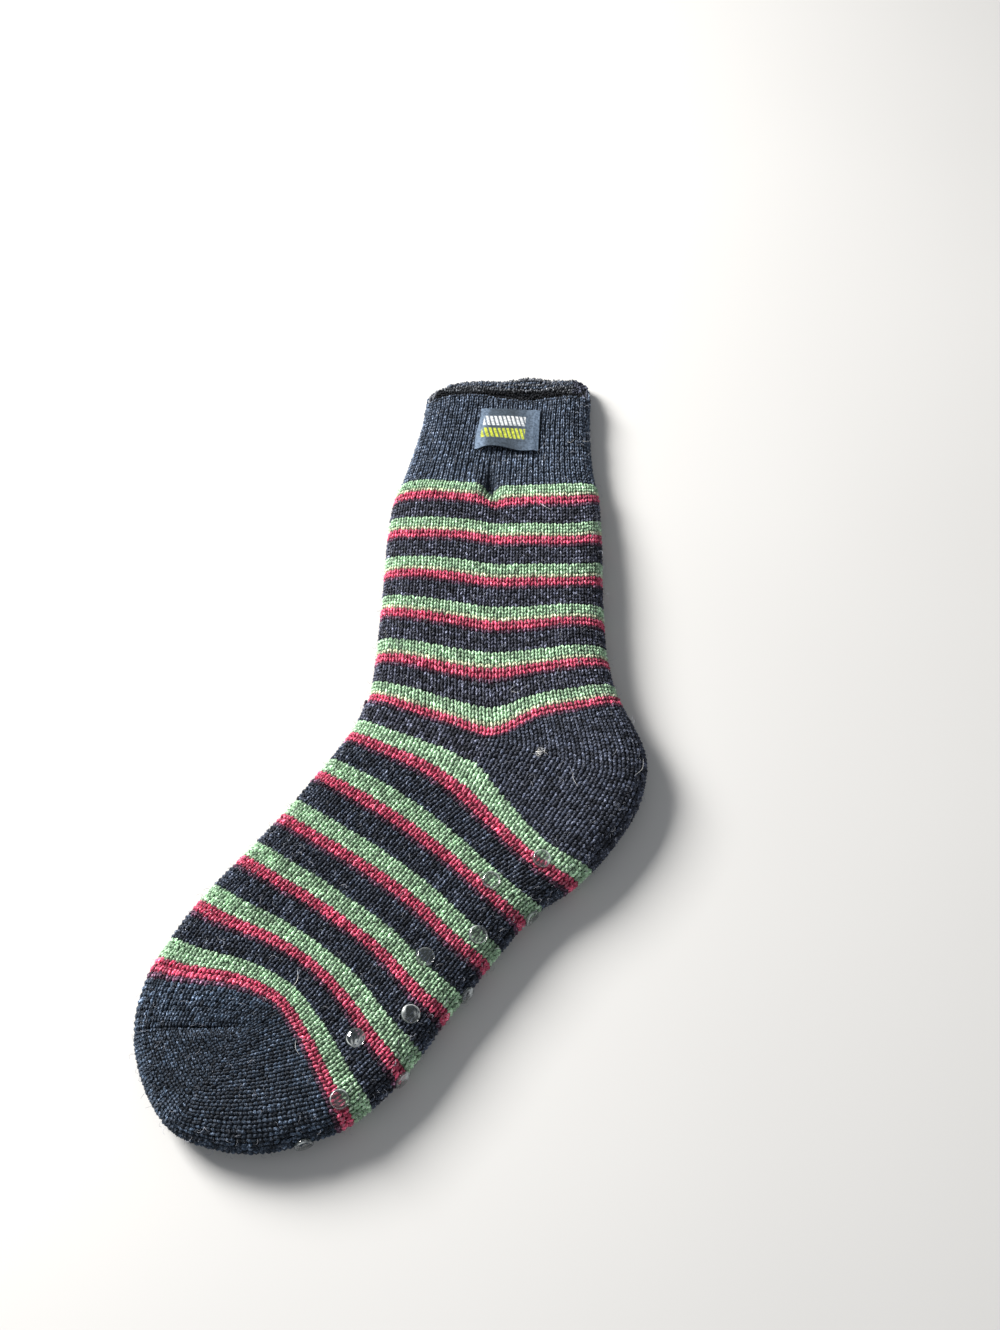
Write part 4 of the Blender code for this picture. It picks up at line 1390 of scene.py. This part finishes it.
def grip_dot(name, along, across, side):
    """One low dome of silicone, following the knit under it."""
    angles = np.linspace(0.0, 2 * math.pi, DOT_SIDES, endpoint=False)
    base, rise = (DOT_UNDER_BASE, DOT_UNDER_RISE) if side < 0 else (DOT_BASE, DOT_RISE)
    points = []
    for share, height in DOT_PROFILE:
        turn = angles if share > 0 else angles[:1]
        x, y = share * DOT_DIAMETER / 2 * np.cos(turn), share * DOT_DIAMETER / 2 * np.sin(turn)
        lift = base + rise * height
        if across is None:
            run = SOCK.sole_run(along) + x
            edge, out = SOCK.at(run)
            found = SOCK.skin(run, np.abs(y), edge, out, np.where(y >= 0, 1, -1), -lift)
            found[:, :2] += CROSSING
            points.append(found)
            continue
        centre = place_on("foot", along / FOOT_LENGTH, across)
        _, depth, edge, out = SOCK.locate(centre[None, :])
        inward = np.interp(depth / FOLD_REACH, SOCK.reach, SOCK.arc) if depth[0] < FOLD_REACH else depth + SOCK.spare
        flat = edge - out * (inward - SOCK.spare)[:, None] + np.stack([x, y], axis=1)
        face = on_face(flat, side, 0.0)
        east = on_face(flat + np.array([SLOPE_STEP, 0.0]), side, 0.0) - face
        north = on_face(flat + np.array([0.0, SLOPE_STEP]), side, 0.0) - face
        up = np.cross(east, north)
        up /= np.linalg.norm(up, axis=1)[:, None]
        points.append(face + up * np.sign(up[:, 2:3]) * side * lift)
    starts = np.cumsum([0] + [len(part) for part in points])
    points = np.vstack(points)
    faces, n = [], DOT_SIDES
    for k in range(n):
        nxt = (k + 1) % n
        faces.append((0, starts[1] + nxt, starts[1] + k))
        for ring in range(1, len(DOT_PROFILE) - 2):
            a, b = starts[ring], starts[ring + 1]
            faces.append((a + k, a + nxt, b + nxt, b + k))
        top = starts[len(DOT_PROFILE) - 2]
        faces.append((top + k, top + nxt, starts[-1] - 1))
    mesh = new_mesh("silicone_" + name, points, faces)
    rings = [share for share, _ in DOT_PROFILE for _ in range(DOT_SIDES if share > 0 else 1)]
    mesh.attributes.new("edge", "FLOAT", "POINT").data.foreach_set("value", np.array(rings))
    faces_outward(mesh)
    mesh.shade_smooth()
    dot = new_piece("silicone_" + name, mesh, GRIP)
    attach(dot, "root")
    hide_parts("grip_dot_" + name)


GRIP = grip_material()
for row, across, side, first, count in DOT_ROWS:
    for index in range(count):
        grip_dot(f"{row}_{index + 1}", first * FOOT_LENGTH + index * DOT_PITCH, across, side)


# Woven label: sewn down at its two ends, standing off the cuff between them
LABEL_COLUMNS = 36
LABEL_ROWS = 30
LABEL_TAPE = 0.0005
LABEL_SEAT = 0.0006
LABEL_BULGE = 0.0009
LABEL_LIP = 0.0016
# Shares of the width over which it rises from its seams
LABEL_SEAMS = (0.14, 0.10)
# Its place against the solid's, to the right and towards the toe, and how far its lower left corner spreads
LABEL_SHIFT = 0.0014
LABEL_LOWER = 0.0011
LABEL_WING = 0.0022
# Wave of its lower edge, ripple of its face, and the angle from which an edge is drawn sharp
LABEL_WAVE = 0.0008
LABEL_RIPPLE = 0.00025
LABEL_SHARP = math.radians(50)


def woven_band(tree, place, start, end, softness):
    """Share of the tape's colour that a stripe takes: one between start and end, with soft sides."""
    return ramp(tree, place, ((start, 0), (start + softness, 1), (end - softness, 1), (end, 0)))


def label_material():
    """Slate tape with paler ends and two plain woven stripes, read from its own map."""
    material, tree, shader = principled("woven_label", 0.75, 0.35)
    place = axes_of(tree, node(tree, "ShaderNodeUVMap", uv_map="tape").outputs["UV"])
    u, v = place["X"], place["Y"]
    ends = ramp(tree, u, ((0.0, 1), (0.10, 0.8), (0.18, 0.15), (0.55, 0), (0.82, 0.45), (0.95, 1)))
    tape = blended(tree, "MIX", ends, srgb(56, 68, 80), srgb(116, 134, 156))
    sides = woven_band(tree, u, 0.06, 0.77, 0.01)
    picks = maths(tree, "SINE", maths(tree, "MULTIPLY", u, 420.0))
    wefts = maths(tree, "SINE", maths(tree, "MULTIPLY", v, 330.0))
    weave = maths(tree, "MULTIPLY", picks, wefts)
    slant = maths(tree, "ADD", maths(tree, "MULTIPLY", u, 88.0), maths(tree, "MULTIPLY", v, 22.0))
    twill = maths(tree, "SINE", slant)
    broken = ramp(tree, maths(tree, "ADD", maths(tree, "MULTIPLY", twill, 0.5), 0.5), ((0.20, 0.10), (0.50, 0.92)))
    for start, end, dye in ((0.55, 0.81, srgb(236, 238, 240)), (0.24, 0.50, srgb(206, 214, 60))):
        stripe = maths(tree, "MULTIPLY", woven_band(tree, v, start, end, 0.02), sides)
        tape = blended(tree, "MIX", maths(tree, "MULTIPLY", stripe, broken), tape, dye)
    shade = noise(tree, 900.0, 2.0)
    tape = blended(tree, "MULTIPLY", 0.8, tape, ramp(tree, shade, ((0.36, (0.35, 0.38, 0.40)), (0.62, 1))))
    link(tree, tape, shader.inputs["Base Color"])
    bump(tree, shader, maths(tree, "ADD", weave, shade), 0.5, 0.00015)
    return material


def woven_label():
    centre = np.array([LABEL_ACROSS + LABEL_SHIFT, LEG_LENGTH - LABEL_DROP - LABEL_LOWER])
    right = np.array([math.cos(LABEL_TILT), math.sin(LABEL_TILT)])
    up = np.array([-right[1], right[0]])
    u, v = (grid.ravel() for grid in np.meshgrid(steps(0, 1, LABEL_COLUMNS), steps(0, 1, LABEL_ROWS)))
    edge_wave = LABEL_WAVE * np.sin(2 * math.pi * (u * 1.1 - 0.1)) * (1 - v) ** 2
    wing = LABEL_WING * (1 - u) ** 5 * smooth(1.2 - v) ** 2
    flat = (centre + right * ((u - 0.5) * LABEL_WIDTH - wing)[:, None]
            + up * ((v - 0.5) * LABEL_HEIGHT + edge_wave)[:, None])
    held = smooth(u / LABEL_SEAMS[0]) * smooth((1 - u) / LABEL_SEAMS[1])
    lift = LABEL_SEAT + LABEL_BULGE * held * (0.4 + 0.6 * np.sin(math.pi * v))
    lift += LABEL_LIP * held * (1 - v) ** 4 * (0.6 + 0.4 * np.cos(2 * math.pi * (u - 0.25)))
    lift += LABEL_RIPPLE * np.sin(9.0 * u + 4.0 * v) * held
    lower, upper = (on_face(flat, 1, lift + k - CUFF_STEP) for k in (0.0, LABEL_TAPE))
    wide, size = LABEL_COLUMNS + 1, len(flat)
    faces = []
    for row in range(LABEL_ROWS):
        for column in range(LABEL_COLUMNS):
            a = row * wide + column
            faces.append((a, a + wide, a + wide + 1, a + 1))
            faces.append((size + a, size + a + 1, size + a + wide + 1, size + a + wide))
    border = list(range(wide)) + [row * wide + LABEL_COLUMNS for row in range(1, LABEL_ROWS + 1)]
    border += [LABEL_ROWS * wide + column for column in range(LABEL_COLUMNS - 1, -1, -1)]
    border += [row * wide for row in range(LABEL_ROWS - 1, 0, -1)]
    for k, a in enumerate(border):
        b = border[(k + 1) % len(border)]
        faces.append((a, b, size + b, size + a))
    mesh = new_mesh("woven_label", np.vstack([lower, upper]), faces)
    layer = mesh.uv_layers.new(name="tape")
    corner = np.empty(len(mesh.loops), dtype=int)
    mesh.loops.foreach_get("vertex_index", corner)
    corner %= size
    layer.data.foreach_set("uv", np.stack([u[corner], v[corner]], axis=1).ravel())
    mesh.shade_smooth()
    mesh.set_sharp_from_angle(angle=LABEL_SHARP)
    label = new_piece("woven_label", mesh, label_material())
    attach(label, "root")
    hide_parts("label")


woven_label()

# Fuzz: fine loose fibres that stand off the yarn
FIBRE_COUNT = 2800
FIBRE_LENGTH = 0.0028
FIBRE_THICKNESS = 0.00005
FIBRE_BEND = (0.25, 0.45, 0.75)
FIBRE_TIP = (0.95, 0.1, 0.45)
FIBRE_FLOOR = 0.0003
FIBRE_LIFT = 0.0002
FIBRE_LEAN = 0.55
# How many more fibres there are near the fold, and how near in arc
FOLD_FIBRES = 1.5
FOLD_FIBRE_ARC = 0.012


def fibre_tree():
    """Geometry nodes: a thin curved three-sided fibre on every carrier point."""
    tree, inward, outward = growth_tree("Loose fibres", (
        ("Bend", "NodeSocketVector", FIBRE_BEND), ("Thickness", "NodeSocketFloat", 0.012),
        ("Fibre", "NodeSocketMaterial", None),
    ))
    curve = node(tree, "GeometryNodeCurveQuadraticBezier")
    curve.inputs["Resolution"].default_value = 3
    curve.inputs["Start"].default_value = (0.0, 0.0, 0.0)
    curve.inputs["End"].default_value = FIBRE_TIP
    link(tree, inward.outputs["Bend"], curve.inputs["Middle"])
    ring = node(tree, "GeometryNodeCurvePrimitiveCircle")
    ring.inputs["Resolution"].default_value = 3
    link(tree, inward.outputs["Thickness"], ring.inputs["Radius"])
    thread = node(tree, "GeometryNodeCurveToMesh")
    thread.inputs["Fill Caps"].default_value = True
    link(tree, curve.outputs[0], thread.inputs["Curve"])
    link(tree, ring.outputs[0], thread.inputs["Profile Curve"])
    return set_on_points(tree, inward, outward, thread.outputs["Mesh"], "X", "Fibre")


def loose_fibres():
    """Fibres scattered over every net in step with its area, thickest near the fold."""
    keys = list(NETS)
    areas = []
    for key in keys:
        face = NETS[key].face
        cell = np.cross(face[1:, :-1] - face[:-1, :-1], face[:-1, 1:] - face[:-1, :-1])
        areas.append(np.linalg.norm(cell, axis=2))
    total = sum(area.sum() for area in areas)
    middle, facing = [], []
    for key, area in zip(keys, areas):
        net = NETS[key]
        weight = (area * (1.0 + FOLD_FIBRES * (net.arc[:-1, :-1] < FOLD_FIBRE_ARC))).ravel()
        count = int(FIBRE_COUNT * area.sum() / total)
        cell = draws.choice(len(weight), count, p=weight / weight.sum())
        i, j = np.divmod(cell, area.shape[1])
        middle.append(net.face[i, j] + net.out[i, j] * FIBRE_LIFT)
        facing.append(net.out[i, j])
    middle, facing = np.vstack(middle), np.vstack(facing)
    count = len(middle)
    facing = facing + draws.normal(0, FIBRE_LEAN, (count, 3))
    facing /= np.linalg.norm(facing, axis=1)[:, None]
    heading = draws.normal(0, 1, (count, 3))
    heading -= facing * np.sum(heading * facing, axis=1)[:, None]
    heading /= np.linalg.norm(heading, axis=1)[:, None]
    sideways = np.cross(facing, heading)
    length = FIBRE_LENGTH * draws.uniform(0.4, 1.3, count)
    stretch = np.stack([length * draws.uniform(0.6, 1.2, count), length, length], axis=1)
    low = middle[:, 2]
    for place in (FIBRE_BEND, FIBRE_TIP):
        axes = (heading, sideways, facing)
        reached = middle + sum(axes[k] * (place[k] * stretch[:, k])[:, None] for k in range(3))
        low = np.minimum(low, reached[:, 2])
    above = low > FIBRE_FLOOR
    vectors = {"facing": facing[above], "heading": heading[above], "stretch": stretch[above]}
    carrier = carrier_mesh("loose_fibres", middle[above], vectors, {})
    tones = ((0.35, srgb(96, 98, 110)), (0.65, srgb(190, 194, 204)))
    settings = {"Fibre": drifting("loose_fibre", 0.9, 300.0, 1.0, tones), "Thickness": FIBRE_THICKNESS / FIBRE_LENGTH}
    piece = new_piece("loose_fibres", grown("loose_fibres", carrier, fibre_tree(), settings))
    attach(piece, "root")


loose_fibres()

# Stray hairs on the upper side: points in mm on the pressed sock with their lift, and thickness. Specks of lint:
# place and reach in mm, and number of hairs
HAIRS = (
    (((62.7, -8.2, 0.7), (66.6, -4.4, 1.6), (67.4, 0.9, 1.2)), 0.27),
    (((34.9, -8.4, 0.7), (34.9, -12.0, 1.3), (36.9, -15.4, 0.7)), 0.13),
    (((-79.1, -98.3, 0.7), (-78.6, -103.0, 1.3), (-81.6, -107.1, 0.7)), 0.13),
    (((-77.5, -127.6, 0.7), (-77.4, -131.0, 1.2), (-75.7, -133.5, 0.7)), 0.12),
    (((37.1, 184.0, 0.7), (39.0, 183.2, 1.4), (41.5, 186.9, 0.8)), 0.13),
    (((45.7, 186.3, 0.7), (49.0, 186.4, 1.6), (52.0, 190.5, 1.2)), 0.15),
    (((22.7, 141.5, 0.7), (25.0, 139.0, 1.4), (28.0, 137.6, 0.8)), 0.14),
    (((-52.0, 61.0, 0.7), (-50.5, 64.5, 1.4), (-51.5, 68.0, 0.8)), 0.11),
    (((8.0, 33.0, 0.7), (11.0, 32.0, 1.3), (13.5, 34.5, 0.7)), 0.11),
)
LINT = (
    (20.5, 2.2, 3.2, 20), (-73.8, -141.4, 0.5, 3), (-29.1, 204.2, 0.5, 3),
    (56.6, -33.6, 0.5, 4), (-7.2, 187.1, 0.5, 2),
)
LINT_THICKNESS = 0.16
HAIR_STEPS = 5


def stray_hairs():
    """Fine three-sided hairs, each laid along its own curve."""
    strands = [(np.array(line), thick) for line, thick in HAIRS]
    for x, y, reach, count in LINT:
        for _ in range(count):
            turn, length = draws.uniform(0, 2 * math.pi), reach * draws.uniform(0.5, 1.0)
            ahead = np.array([math.cos(turn), math.sin(turn)]) * length
            bend = np.array([-ahead[1], ahead[0]]) * draws.uniform(-0.6, 0.6)
            middle = np.array([x, y]) + draws.normal(0, reach * 0.35, 2)
            top = (*(middle + bend), draws.uniform(0.8, 1.3))
            line = [(*(middle - ahead / 2), 0.5), top, (*(middle + ahead / 2), 0.6)]
            strands.append((np.array(line), LINT_THICKNESS))
    points, faces = [], []
    for line, thick in strands:
        path = curve_through(line, HAIR_STEPS)
        centre = on_face(path[:, :2] * MM, 1, 0.0)
        centre[:, 2] += path[:, 2] * MM
        ahead = np.gradient(centre, axis=0)
        ahead /= np.linalg.norm(ahead, axis=1)[:, None]
        side = np.cross(ahead, (0.0, 0.0, 1.0))
        side /= np.linalg.norm(side, axis=1)[:, None]
        up = np.cross(side, ahead)
        start, last = len(points), len(centre) - 1
        for k in range(last + 1):
            radius = thick * MM / 2 * (0.35 + 0.65 * math.sin(math.pi * (k + 0.5) / (last + 1)))
            for corner in range(3):
                angle = 2 * math.pi * corner / 3
                points.append(centre[k] + radius * (math.cos(angle) * side[k] + math.sin(angle) * up[k]))
        for k in range(last):
            for corner in range(3):
                a, b = start + 3 * k + corner, start + 3 * k + (corner + 1) % 3
                faces.append((a, b, b + 3, a + 3))
        faces.append((start, start + 2, start + 1))
        faces.append((start + 3 * last, start + 3 * last + 1, start + 3 * last + 2))
    mesh = new_mesh("stray_hairs", points, faces)
    faces_outward(mesh)
    tones = ((0.35, srgb(206, 210, 218)), (0.65, srgb(250, 248, 242)))
    piece = new_piece("stray_hairs", mesh, drifting("stray_hair", 0.8, 200.0, 1.0, tones))
    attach(piece, "root")


stray_hairs()

FLOOR_REACH = 6.0


def make_floor():
    corners = [(x * FLOOR_REACH, y * FLOOR_REACH, 0) for x, y in ((-1, -1), (1, -1), (1, 1), (-1, 1))]
    mesh = new_mesh("floor", corners, [(0, 1, 2, 3)])
    tones = ((0.3, (0.62, 0.615, 0.605)), (0.7, (0.65, 0.645, 0.635)))
    floor = new_piece("floor", mesh, drifting("pale_floor", 0.7, 3.0, 2.0, tones))


def area_light(name, place, target, size, power, colour):
    data = bpy.data.lights.new(name, "AREA")
    data.shape = "SQUARE"
    data.size, data.energy, data.color = size, power, colour
    lamp = bpy.data.objects.new(name, data)
    bpy.context.scene.collection.objects.link(lamp)
    lamp.location = place
    direction = Vector(target) - Vector(place)
    lamp.rotation_euler = direction.to_track_quat("-Z", "Y").to_euler()


def studio():
    world = bpy.data.worlds.new("studio")
    world.use_nodes = True
    world.node_tree.nodes["Background"].inputs["Color"].default_value = (0.93, 0.96, 1.0, 1.0)
    world.node_tree.nodes["Background"].inputs["Strength"].default_value = 0.28
    bpy.context.scene.world = world
    area_light("window", (-0.95, 0.65, 0.75), (0.0, 0.0, 0.0), 0.6, 50.0, (1.0, 0.98, 0.95))
    area_light("fill", (0.3, -1.0, 1.1), (0.0, 0.0, 0.0), 1.2, 2.0, (0.92, 0.96, 1.0))
    bpy.context.scene.view_settings.view_transform = "Standard"


def camera():
    data = bpy.data.cameras.new("camera")
    data.sensor_fit = "VERTICAL"
    data.sensor_height = 36.0
    data.lens = 40.60
    data.clip_start = 0.01
    made = bpy.data.objects.new("camera", data)
    made.location = (0.04105, -0.34732, 0.60145)
    made.rotation_euler = (math.radians(32.0), 0.0, 0.0)
    bpy.context.scene.collection.objects.link(made)
    bpy.context.scene.camera = made


make_floor()
studio()
camera()
